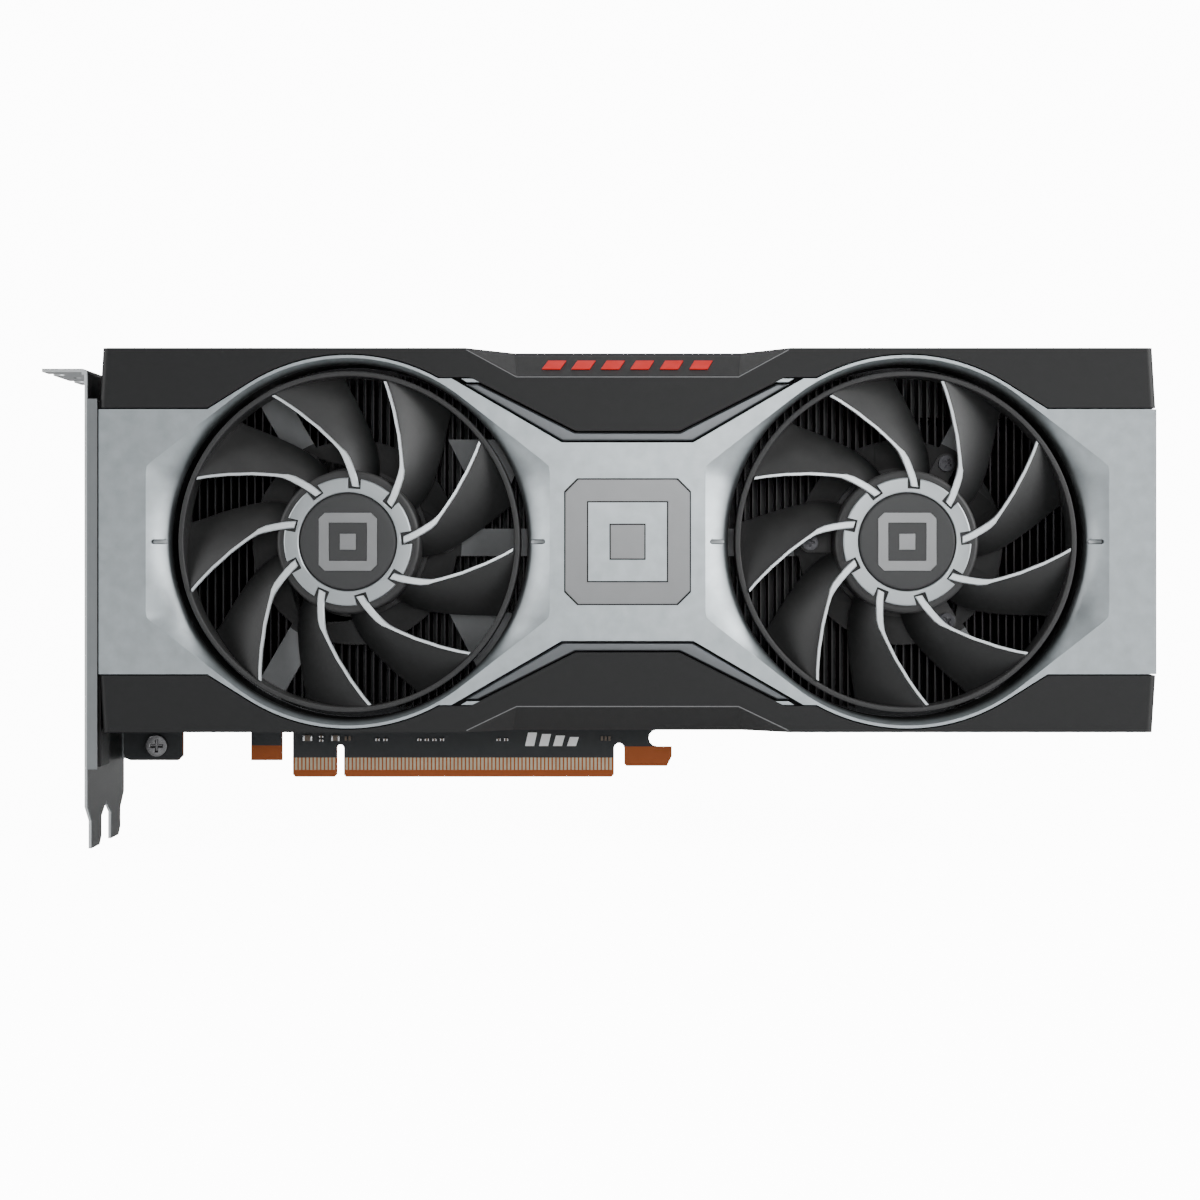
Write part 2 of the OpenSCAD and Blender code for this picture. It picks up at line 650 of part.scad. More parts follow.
// ---- board ----
notch_top = 7.65;
catch_x = hook_x[0] + 6.5 + catch_r;
function curve(middle, r, from, to) =
    [for (i = [0 : 6]) let (a = from + (to - from) * i / 6) middle + r * [cos(a), sin(a)]];
board_outline = [
    [board_x[0], tab_z + 1.8], [board_x[0] + 0.53, tab_z + 0.53], [board_x[0] + 1.8, tab_z],
    [bracket_tab_x[1] - 1.2, tab_z], [bracket_tab_x[1], tab_z + 1.2],
    [bracket_tab_x[1], finger_drop], [guide_tab_x[0], finger_drop],
    [guide_tab_x[0], tab_z], [guide_tab_x[1], tab_z], [guide_tab_x[1], finger_drop],
    [short_end, finger_drop], [short_end, 0.7], [short_end + 0.7, 0],
    [-key_w / 2 - 0.6, 0], [-key_w / 2, 0.6],
    each curve([0, notch_top], key_w / 2, 180, 0), [key_w / 2, 0.6], [key_w / 2 + 0.6, 0],
    [key_end - 0.7, 0], [key_end, 0.7], each curve([key_end + hook_gap / 2, notch_top], hook_gap / 2, 180, 0),
    [hook_x[0], hook_z[0] + 0.6], [hook_x[0] + 0.6, hook_z[0]],
    [hook_x[1] - 1.3, hook_z[0]], [hook_x[1], hook_z[0] + 2.6], [hook_x[1], hook_z[1]],
    each curve([catch_x, hook_z[1] + catch_r], catch_r, 270, 90),
    [board_x[1], finger_drop], [board_x[1], board_top], [board_x[0], board_top]];
module hole_through(spot, r) { translate([spot[0], 0, spot[1]]) drum(r, front_depth - 5, front_depth + 6); }
module circuit_board() {
    bevel_angle = 20;
    color([0.05, 0.06, 0.06]) difference() {
        slab(front_depth, front_depth + board_t) polygon(board_outline);
        for (side = fan_sides) translate([0, side * board_t / 2, 0]) rotate([side * bevel_angle, 0, 0])
            translate([short_end - 1, side < 0 ? -2 : 0, -3]) cube([short_run + long_run + key_w + 2, 2, 3]);
        for (spot = board_holes) hole_through(spot, board_hole_r);
        for (spot = screw_spots) hole_through(spot, 1.7);
        for (x = [-1, 1], z = [-1, 1]) hole_through([gpu[0], gpu[1]] + [x, z] * retention_pitch / 2, 1.5);
    }
}
contact_count = [11, 71];
contact_half = 0.31;
contact_first = key_w / 2 + 0.75;
module edge_contacts() {
    color([0.85, 0.68, 0.35]) for (face = [0, 1]) {
        surface = front_depth + face * board_t;
        depth = [surface - 0.04 * (1 - face), surface + 0.04 * face];
        for (run = [0, 1], i = [0 : contact_count[run] - 1]) {
            x = (2 * run - 1) * (contact_first + i);
            block([x - contact_half, x + contact_half], depth, [1.9, 5.15]);
        }
    }
}
module board_marks() {
    color([0.85, 0.86, 0.86]) for (i = [0 : 3]) translate([49 + i * 3.7, 0, 8.2])
        slab(front_depth - 0.03, front_depth)
            polygon([[0, 0], [2.4, 0], [3.2, 3.6 - 0.4 * i], [0.8, 3.6 - 0.4 * i]]);
}
// a chip lying on the board, centred on a spot, `size` wide and high
module chip(spot, size, d) {
    block([spot[0] - size[0] / 2, spot[0] + size[0] / 2], d, [spot[1] - size[1] / 2, spot[1] + size[1] / 2]);
}
module gpu_package() {
    color([0.1, 0.3, 0.2]) chip(gpu, [37.5, 37.5], [front_depth - package_t, front_depth]);
}
module gpu_die() {
    color([0.45, 0.47, 0.5]) chip(gpu, [17.2, 11.6], [plate_back, front_depth - package_t]);
}
module memory_chips() {
    color([0.12, 0.12, 0.13]) for (spot = memory_spots)
        chip(gpu + spot, [14, 12], [front_depth - chip_t, front_depth]);
}
module power_stages() {
    color([0.14, 0.14, 0.15]) for (x = power_stage_x, z = vrm_rows)
        chip([x, z], [5, 6], [front_depth - chip_t, front_depth]);
}
module chokes() {
    color([0.3, 0.3, 0.31]) for (x = vrm_columns, z = vrm_rows)
        chip([x, z], [choke_w, choke_w], [front_depth - choke_h, front_depth]);
}
module capacitors() {
    color([0.7, 0.7, 0.72]) for (x = [108, 116, 124], z = [34, 44, 54, 64, 74]) translate([x, 0, z]) {
        drum(3.1, front_depth - 4, front_depth - 0.8);
        block([-3.3, 3.3], [front_depth - 0.8, front_depth], [-3.3, 3.3]);
    }
}
// parts above the contacts: [middle, width, height, height above the slot]
small_spots = [[-8.65, 2.5, 1.5, 10.35], [-5, 1.1, 0.6, 10.8], [-5, 1.1, 0.6, 9.75], [-1.25, 2.2, 1.5, 10.35],
    for (x = [1.5, 2.5, 69.4, 70.4, 71.4]) [x, 0.6, 1.2, 10.25],
    for (x = [9.9, 12, 21, 23, 25, 27, 42, 44]) [x, 1.1, 0.7, 9.95]];
module small_components() {
    color([0.65, 0.6, 0.52]) {
        for (s = small_spots) chip([s[0], s[3]], [s[1], s[2]], [front_depth - 0.5, front_depth]);
        for (x = [20 : 4 : 44], z = [32, 88]) chip([x, z], [1, 2], [front_depth - 0.6, front_depth]);
        block([140, 148], [front_depth - 1, front_depth], [60, 68]);
        block([142, 146], [front_depth - 1, front_depth], [40, 45]);
    }
}

// ---- power sockets ----
// puts something at the middle of every cell of a socket, on the cell's floor
module socket_cells(spot) {
    for (i = [0 : spot[1] - 1], j = [0, 1]) translate([spot[0] + 0.8 + (i + 0.5) * socket_pitch,
        front_y + socket_back - 0.7 - (j + 0.5) * socket_pitch, socket_z[0] + 2]) children();
}
module power_socket(spot) {
    width = spot[1] * socket_pitch + 1.6;
    latch_x = spot[0] + width / 2;
    front = socket_back - socket_depth;
    color([0.06, 0.06, 0.06]) difference() {
        union() {
            block([spot[0], spot[0] + width], [front, socket_back], socket_z);
            block([latch_x - 1.6, latch_x + 1.6], [front - 1.2, front + 0.1],
                [socket_z[1] - 5, socket_z[1] - 3]);
        }
        socket_cells(spot) translate([-1.75, -1.75, 0]) cube([3.5, 3.5, 20]);
    }
}
module power_socket_8() { power_socket(sockets[0]); }
module power_socket_6() { power_socket(sockets[1]); }
module socket_pins() {
    color([0.8, 0.78, 0.7]) for (spot = sockets)
        socket_cells(spot) translate([-0.5, -0.5, 0]) cube([1, 1, 9]);
}

// ---- outputs ----
module port_box(i, grow, x0, x1) {
    block([x0, x1], [front_depth - port_size[i][1] - grow, front_depth - 0.2 + grow],
        [port_z[i] - port_size[i][0] / 2 - grow, port_z[i] + port_size[i][0] / 2 + grow]);
}
module port_shell(i) {
    difference() {
        port_box(i, 0, bracket_x - port_out, bracket_x + port_len);
        port_box(i, -port_wall, bracket_x - port_out - 1, bracket_x + 6.5);
    }
}
module displayport_shells() { color([0.72, 0.73, 0.75]) for (i = [0 : 2]) port_shell(i); }
module hdmi_shell() { color([0.75, 0.7, 0.6]) port_shell(3); }
module port_tongues() {
    color([0.08, 0.08, 0.08]) for (i = [0 : 3]) block([bracket_x + 0.8, bracket_x + 6.5],
        [front_depth - 3.7, front_depth - 2.3], [port_z[i] - 5.8, port_z[i] + 5.8]);
}

// ---- bracket ----
bracket_d = [-0.3, bracket_w - 0.3];
tongues_d = [for (i = [0, 1]) let (d = tongue_in - 0.3 + i * slot_pitch) [d, d + tongue_w]];
bracket_outline = [
    [bracket_d[0], bracket_top - 1.5], [bracket_d[0], taper_z[0]], [tongues_d[0][0], taper_z[1]],
    [tongues_d[0][0], tongue_z], [tongues_d[0][1] - 2, tongue_z], [tongues_d[0][1], tongue_z + 2],
    [tongues_d[0][1], taper_z[1]], [(tongues_d[0][1] + tongues_d[1][0]) / 2, taper_z[0] - 0.6],
    [tongues_d[1][0], taper_z[1]], [tongues_d[1][0], tongue_z], [tongues_d[1][1] - 2, tongue_z],
    [tongues_d[1][1], tongue_z + 2], [tongues_d[1][1], taper_z[1]], [bracket_d[1], taper_z[0]],
    [bracket_d[1], bracket_top - 1.5]];
notch_d = [8.2, 8.2 + slot_pitch];
vent_z = [18.6 : 6.6 : 92];
vent_d = [14.5, 25.5];
module bracket_sheet() {
    translate([bracket_x, front_y, 0]) rotate([90, 0, 90]) linear_extrude(bracket_t) polygon(bracket_outline);
}
module slot_bracket() {
    inner_face = bracket_x + bracket_t;
    flange_end = bracket_x - flange_len;
    fold_r = 1.5;
    color([0.6, 0.61, 0.62]) difference() {
        union() {
            bracket_sheet();
            block([flange_end, bracket_x - 0.6], bracket_d, [bracket_top - bracket_t, bracket_top]);
            block([bracket_x - 0.64, bracket_x + bracket_t], bracket_d, [bracket_top - 1.5, bracket_top]);
            block([inner_face - 0.1, bracket_x + lip_w], [bracket_d[0], bracket_d[0] + bracket_t], lip_z);
            for (spot = screw_spots) block([inner_face - 0.1, spot[0] + 4.5],
                [front_depth + board_t, front_depth + board_t + bracket_t], [spot[1] - 3.6, spot[1] + 3.6]);
        }
        difference() {
            block([inner_face - fold_r, bracket_x + 2], [-2, bracket_w + 2],
                [bracket_top - fold_r, bracket_top + 1]);
            translate([inner_face - fold_r, front_y - 5, bracket_top - fold_r]) rotate([-90, 0, 0])
                cylinder(r = fold_r, h = bracket_w + 12, $fn = 32);
        }
        for (d = notch_d) {
            translate([flange_end + 1.4, front_y + d, bracket_top - 3])
                cylinder(r = screw_notch_w / 2, h = 5);
            block([flange_end - 1, flange_end + 1.4], [d - screw_notch_w / 2, d + screw_notch_w / 2],
                [bracket_top - 3, bracket_top + 2]);
        }
        translate([bracket_x - 6, front_y + 16.6, bracket_top - 3]) cylinder(r = 1, h = 5, $fn = 24);
        for (z = vent_z) {
            block([bracket_x - 1, bracket_x + 2], vent_d, [z - 1.6, z + 1.6]);
            for (d = vent_d) translate([bracket_x - 1, front_y + d, z]) rotate([0, 90, 0])
                cylinder(r = 1.6, h = 3, $fn = 24);
        }
        for (i = [0 : 3]) port_box(i, 0.25, bracket_x - 1, bracket_x + 2);
        for (spot = screw_spots) hole_through(spot, 1.7);
    }
}
module bracket_screws() {
    color([0.75, 0.76, 0.77]) for (spot = screw_spots) translate([spot[0], 0, spot[1]]) difference() {
        union() {
            drum(2.9, front_depth - 1.7, front_depth);
            drum(1.5, front_depth - 0.1, front_depth + board_t + bracket_t);
        }
        screw_cross(1.6, 0.35, [front_depth - 2, front_depth - 0.7]);
    }
}

// ---- back ----
backplate_t = 1;
backplate_x = [bracket_x + 3.6, tail_x];
backplate_z = [fan_z - skirt_bottom, fan_z + skirt_top];
module backplate() {
    color([0.06, 0.06, 0.065]) difference() {
        union() {
            block(backplate_x, [card_depth - backplate_t, card_depth], backplate_z);
            block(backplate_x, [card_depth - 3, card_depth], [backplate_z[1] - 1, backplate_z[1]]);
        }
        block([gpu[0] - 34, gpu[0] + 34], [card_depth - 5, card_depth + 1], [gpu[1] - 34, gpu[1] + 34]);
        for (x = [106 : 8 : 186]) block([x, x + 3.2], [card_depth - 5, card_depth + 1], [40, 84]);
        for (spot = board_holes) hole_through(spot, 1.35);
        for (spot = board_holes) translate([spot[0], 0, spot[1]]) drum(3, card_depth - 0.6, card_depth + 1);
    }
}
module backplate_screws() {
    color([0.16, 0.16, 0.17]) for (spot = board_holes) translate([spot[0], 0, spot[1]]) difference() {
        union() {
            drum(2.7, card_depth - 0.6, card_depth - 0.05);
            drum(1.25, frame_plate[1], card_depth - 0.5);
        }
        screw_cross(1.5, 0.3, [card_depth - 0.4, card_depth + 1]);
    }
}
module standoffs() {
    color([0.7, 0.66, 0.5]) for (spot = board_holes) translate([spot[0], 0, spot[1]]) {
        difference() {
            drum(2.8, front_depth + board_t, card_depth - backplate_t, $fn = 6);
            drum(1.3, front_depth, card_depth + 1);
        }
        difference() {
            drum(2.8, fins_back, front_depth);
            drum(1.3, frame_plate[1] - 0.5, front_depth + 1);
        }
    }
}
module retention_spring() {
    gap = front_depth + board_t + 0.8;
    reach = retention_pitch / sqrt(2) + 4;
    half = 3.6;
    function turned(p, a) = [p[0] * cos(a) - p[1] * sin(a), p[0] * sin(a) + p[1] * cos(a)];
    cross = [for (a = [45 : 90 : 315]) each [turned([reach - 1.4, -half], a), turned([reach, 1.4 - half], a),
        turned([reach, half - 1.4], a), turned([reach - 1.4, half], a), turned([half * sqrt(2), 0], a + 45)]];
    color([0.62, 0.63, 0.65]) translate([gpu[0], 0, gpu[1]]) difference() {
        slab(gap, gap + 1) polygon(cross);
        for (x = [-1, 1], z = [-1, 1]) translate([x, 0, z] * retention_pitch / 2) drum(1.5, gap - 1, gap + 2);
        drum(2.5, gap - 1, gap + 2);
    }
}
module retention_screws() {
    gap = front_depth + board_t + 1.8;
    color([0.5, 0.5, 0.52]) translate([gpu[0], 0, gpu[1]]) for (x = [-1, 1], z = [-1, 1])
        translate([x, 0, z] * retention_pitch / 2) difference() {
            union() {
                drum(2.6, gap, gap + 1.3);
                drum(1.2, plate_back - 3, gap + 0.1);
            }
            screw_cross(1.5, 0.3, [gap + 0.8, gap + 2]);
        }
}

face_plate();
top_skirt();
bottom_skirt();
upper_trim();
lower_trim();
centre_emblem();
badge_bars();
plate_marks();
inner_frame();
motor_base_left();
motor_base_right();
motor_screws();
rotor_left();
rotor_right();
fan_blades_left();
fan_blades_right();
blade_edges_left();
blade_edges_right();
hub_ring_left();
hub_ring_right();
hub_cap_left();
hub_cap_right();
hub_emblem_left();
hub_emblem_right();
rotor_magnet_left();
rotor_magnet_right();
rotor_shaft_left();
rotor_shaft_right();
motor_stator_left();
motor_stator_right();
motor_bearing_left();
motor_bearing_right();
fin_stack();
heat_pipes();
cold_plate();
cooler_frame();
thermal_pads();
circuit_board();
edge_contacts();
gpu_package();
gpu_die();
memory_chips();
power_stages();
chokes();
capacitors();
small_components();
power_socket_8();
power_socket_6();
socket_pins();
slot_bracket();
displayport_shells();
hdmi_shell();
port_tongues();
bracket_screws();
backplate();
backplate_screws();
standoffs();
retention_spring();
retention_screws();
board_marks();
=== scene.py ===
import json
from math import acos, atan2, cos, degrees, pi, radians, sin, sqrt
import bpy
import bmesh
from mathutils import Matrix, Vector


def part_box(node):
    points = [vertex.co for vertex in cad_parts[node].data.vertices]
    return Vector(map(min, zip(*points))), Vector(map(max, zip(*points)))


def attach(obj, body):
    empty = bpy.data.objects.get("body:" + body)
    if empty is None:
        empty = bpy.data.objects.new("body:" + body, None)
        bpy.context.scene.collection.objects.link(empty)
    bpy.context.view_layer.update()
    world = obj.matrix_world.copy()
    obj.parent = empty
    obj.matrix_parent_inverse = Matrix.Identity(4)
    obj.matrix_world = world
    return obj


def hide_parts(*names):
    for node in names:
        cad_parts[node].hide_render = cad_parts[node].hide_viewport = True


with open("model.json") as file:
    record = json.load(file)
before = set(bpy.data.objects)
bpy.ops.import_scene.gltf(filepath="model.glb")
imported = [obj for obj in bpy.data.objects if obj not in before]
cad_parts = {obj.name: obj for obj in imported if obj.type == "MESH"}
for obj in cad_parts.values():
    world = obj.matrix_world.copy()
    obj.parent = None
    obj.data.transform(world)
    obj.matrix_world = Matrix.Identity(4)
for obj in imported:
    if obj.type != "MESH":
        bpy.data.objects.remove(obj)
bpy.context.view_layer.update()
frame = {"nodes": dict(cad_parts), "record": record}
nodes = frame["nodes"]
ops = bpy.ops
mm = 0.001

# places, all taken from the frame
plateLow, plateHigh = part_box("face_plate")
frontY = plateLow.y
midX = (plateLow.x + plateHigh.x) / 2
halfLength = (plateHigh.x - plateLow.x) / 2
fanCentres = {}
for side in ("left", "right"):
    low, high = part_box("rotor_" + side)
    fanCentres[side] = ((low.x + high.x) / 2, (low.z + high.z) / 2)
fanZ = fanCentres["left"][1]
fanReach = (fanCentres["right"][0] - fanCentres["left"][0]) / 2


# materials
def newGroup(name, inputs, outputs):
    group = bpy.data.node_groups.new(name, "ShaderNodeTree")
    for label, kind, value in inputs:
        socket = group.interface.new_socket(label, in_out="INPUT", socket_type=kind)
        socket.default_value = value
    for label, kind in outputs:
        group.interface.new_socket(label, in_out="OUTPUT", socket_type=kind)
    return group, group.nodes.new("NodeGroupInput"), group.nodes.new("NodeGroupOutput")


def mathNode(tree, operation, first, second=None, clamp=False):
    node = tree.nodes.new("ShaderNodeMath")
    node.operation = operation
    node.use_clamp = clamp
    for socket, value in zip(node.inputs, (first, second)):
        if isinstance(value, (int, float)):
            socket.default_value = value
        elif value is not None:
            tree.links.new(value, socket)
    return node.outputs[0]


# fine random grain: one value for colour and gloss, one for bump
grain, grainIn, grainOut = newGroup("fineGrain",
    [("Scale", "NodeSocketFloat", 900.0), ("Stretch", "NodeSocketVector", (1, 1, 1))],
    [("Value", "NodeSocketFloat"), ("Blotch", "NodeSocketFloat")])
grainCoord = grain.nodes.new("ShaderNodeTexCoord")
grainMap = grain.nodes.new("ShaderNodeMapping")
grain.links.new(grainCoord.outputs["Object"], grainMap.inputs["Vector"])
grain.links.new(grainIn.outputs["Stretch"], grainMap.inputs["Scale"])
grainFine = grain.nodes.new("ShaderNodeTexNoise")
grainFine.inputs["Detail"].default_value = 3
grain.links.new(grainMap.outputs["Vector"], grainFine.inputs["Vector"])
grain.links.new(grainIn.outputs["Scale"], grainFine.inputs["Scale"])
grainCoarse = grain.nodes.new("ShaderNodeTexNoise")
grainCoarse.inputs["Detail"].default_value = 4
grain.links.new(grainCoord.outputs["Object"], grainCoarse.inputs["Vector"])
grain.links.new(mathNode(grain, "MULTIPLY", grainIn.outputs["Scale"], 0.11), grainCoarse.inputs["Scale"])
grain.links.new(grainFine.outputs["Fac"], grainOut.inputs["Value"])
grain.links.new(grainCoarse.outputs["Fac"], grainOut.inputs["Blotch"])

# wear and a painted highlight along raised edges: pointed edges are made lighter
wearAndHighlight, wearAndHighlightIn, wearAndHighlightOut = newGroup("edgeWear",
    [("Amount", "NodeSocketFloat", 0.5), ("Grain", "NodeSocketFloat", 0.5)], [("Mask", "NodeSocketFloat")])
wearAndHighlightGeometry = wearAndHighlight.nodes.new("ShaderNodeNewGeometry")
wearAndHighlightRange = wearAndHighlight.nodes.new("ShaderNodeMapRange")
wearAndHighlightRange.inputs["From Min"].default_value = 0.52
wearAndHighlightRange.inputs["From Max"].default_value = 0.62
wearAndHighlight.links.new(wearAndHighlightGeometry.outputs["Pointiness"], wearAndHighlightRange.inputs["Value"])
wearAndHighlightBroken = mathNode(wearAndHighlight, "MULTIPLY", wearAndHighlightRange.outputs["Result"],
                      mathNode(wearAndHighlight, "ADD", wearAndHighlightIn.outputs["Grain"], 0.3))
wearAndHighlight.links.new(mathNode(wearAndHighlight, "MULTIPLY", wearAndHighlightBroken, wearAndHighlightIn.outputs["Amount"], clamp=True),
               wearAndHighlightOut.inputs["Mask"])

# faint dust that settles on upward faces
dust, dustIn, dustOut = newGroup("settledDust",
    [("Amount", "NodeSocketFloat", 0.1), ("Grain", "NodeSocketFloat", 0.5)], [("Mask", "NodeSocketFloat")])
dustGeometry = dust.nodes.new("ShaderNodeNewGeometry")
dustSplit = dust.nodes.new("ShaderNodeSeparateXYZ")
dust.links.new(dustGeometry.outputs["Normal"], dustSplit.inputs["Vector"])
dustUp = mathNode(dust, "MULTIPLY", mathNode(dust, "MAXIMUM", dustSplit.outputs["Z"], 0.0),
                  dustIn.outputs["Grain"])
dust.links.new(mathNode(dust, "MULTIPLY", dustUp, dustIn.outputs["Amount"], clamp=True),
               dustOut.inputs["Mask"])


def split(tree, source):  # x, y and z of a vector socket
    parts = tree.nodes.new("ShaderNodeSeparateXYZ")
    tree.links.new(source, parts.inputs["Vector"])
    return parts.outputs


def spotOf(tree):
    return split(tree, tree.nodes.new("ShaderNodeTexCoord").outputs["Object"])


def facingOf(tree):
    return split(tree, tree.nodes.new("ShaderNodeNewGeometry").outputs["Normal"])


def surfaceOf(material):  # a material's tree, its shader and what feeds its base colour
    shader = material.node_tree.nodes["Principled BSDF"]
    return material.node_tree, shader, shader.inputs["Base Color"].links[0].from_socket


def mixColour(tree, factor, first, second):
    mix = tree.nodes.new("ShaderNodeMix")
    mix.data_type = "RGBA"
    for index, value in ((0, factor), (6, first), (7, second)):
        if isinstance(value, bpy.types.NodeSocket):
            tree.links.new(value, mix.inputs[index])
        elif index == 0:
            mix.inputs[0].default_value = value
        else:
            mix.inputs[index].default_value = (*value, 1)
    return mix.outputs[2]


def finish(name, colour, rough=0.5, metal=0.0, scale=900.0, stretch=(1, 1, 1), bump=0.05, blotch=0.12,
           edge=0.3, dusty=0.05, coat=0.0, specular=0.5, aniso=0.0):
    material = bpy.data.materials.new(name)
    material.use_nodes = True
    tree = material.node_tree
    shader = tree.nodes["Principled BSDF"]
    texture = tree.nodes.new("ShaderNodeGroup")
    texture.node_tree = grain
    texture.inputs["Scale"].default_value = scale
    texture.inputs["Stretch"].default_value = stretch
    wornAndHighlighted = tree.nodes.new("ShaderNodeGroup")
    wornAndHighlighted.node_tree = wearAndHighlight
    wornAndHighlighted.inputs["Amount"].default_value = edge
    tree.links.new(texture.outputs["Blotch"], wornAndHighlighted.inputs["Grain"])
    dusted = tree.nodes.new("ShaderNodeGroup")
    dusted.node_tree = dust
    dusted.inputs["Amount"].default_value = dusty
    tree.links.new(texture.outputs["Blotch"], dusted.inputs["Grain"])
    deep = tuple(c * (1 - blotch) for c in colour)
    light = tuple(min(1, c * (1 + blotch)) for c in colour)
    base = mixColour(tree, texture.outputs["Blotch"], deep, light)
    # raised edges get a lighter colour: partly wear, partly a painted highlight
    wearHighlightColour = tuple(min(1, c * 1.6 + 0.06) for c in colour)
    base = mixColour(tree, wornAndHighlighted.outputs["Mask"], base, wearHighlightColour)
    base = mixColour(tree, dusted.outputs["Mask"], base, (0.55, 0.54, 0.52))
    tree.links.new(base, shader.inputs["Base Color"])
    spread = tree.nodes.new("ShaderNodeMapRange")
    spread.inputs["To Min"].default_value = rough * 0.88
    spread.inputs["To Max"].default_value = min(1, rough * 1.12)
    tree.links.new(texture.outputs["Value"], spread.inputs["Value"])
    tree.links.new(spread.outputs["Result"], shader.inputs["Roughness"])
    bumpNode = tree.nodes.new("ShaderNodeBump")
    bumpNode.inputs["Strength"].default_value = bump
    bumpNode.inputs["Distance"].default_value = 0.05 * mm
    tree.links.new(texture.outputs["Value"], bumpNode.inputs["Height"])
    tree.links.new(bumpNode.outputs["Normal"], shader.inputs["Normal"])
    shader.inputs["Metallic"].default_value = metal
    shader.inputs["Specular IOR Level"].default_value = specular
    shader.inputs["Coat Weight"].default_value = coat
    shader.inputs["Anisotropic"].default_value = aniso
    return material


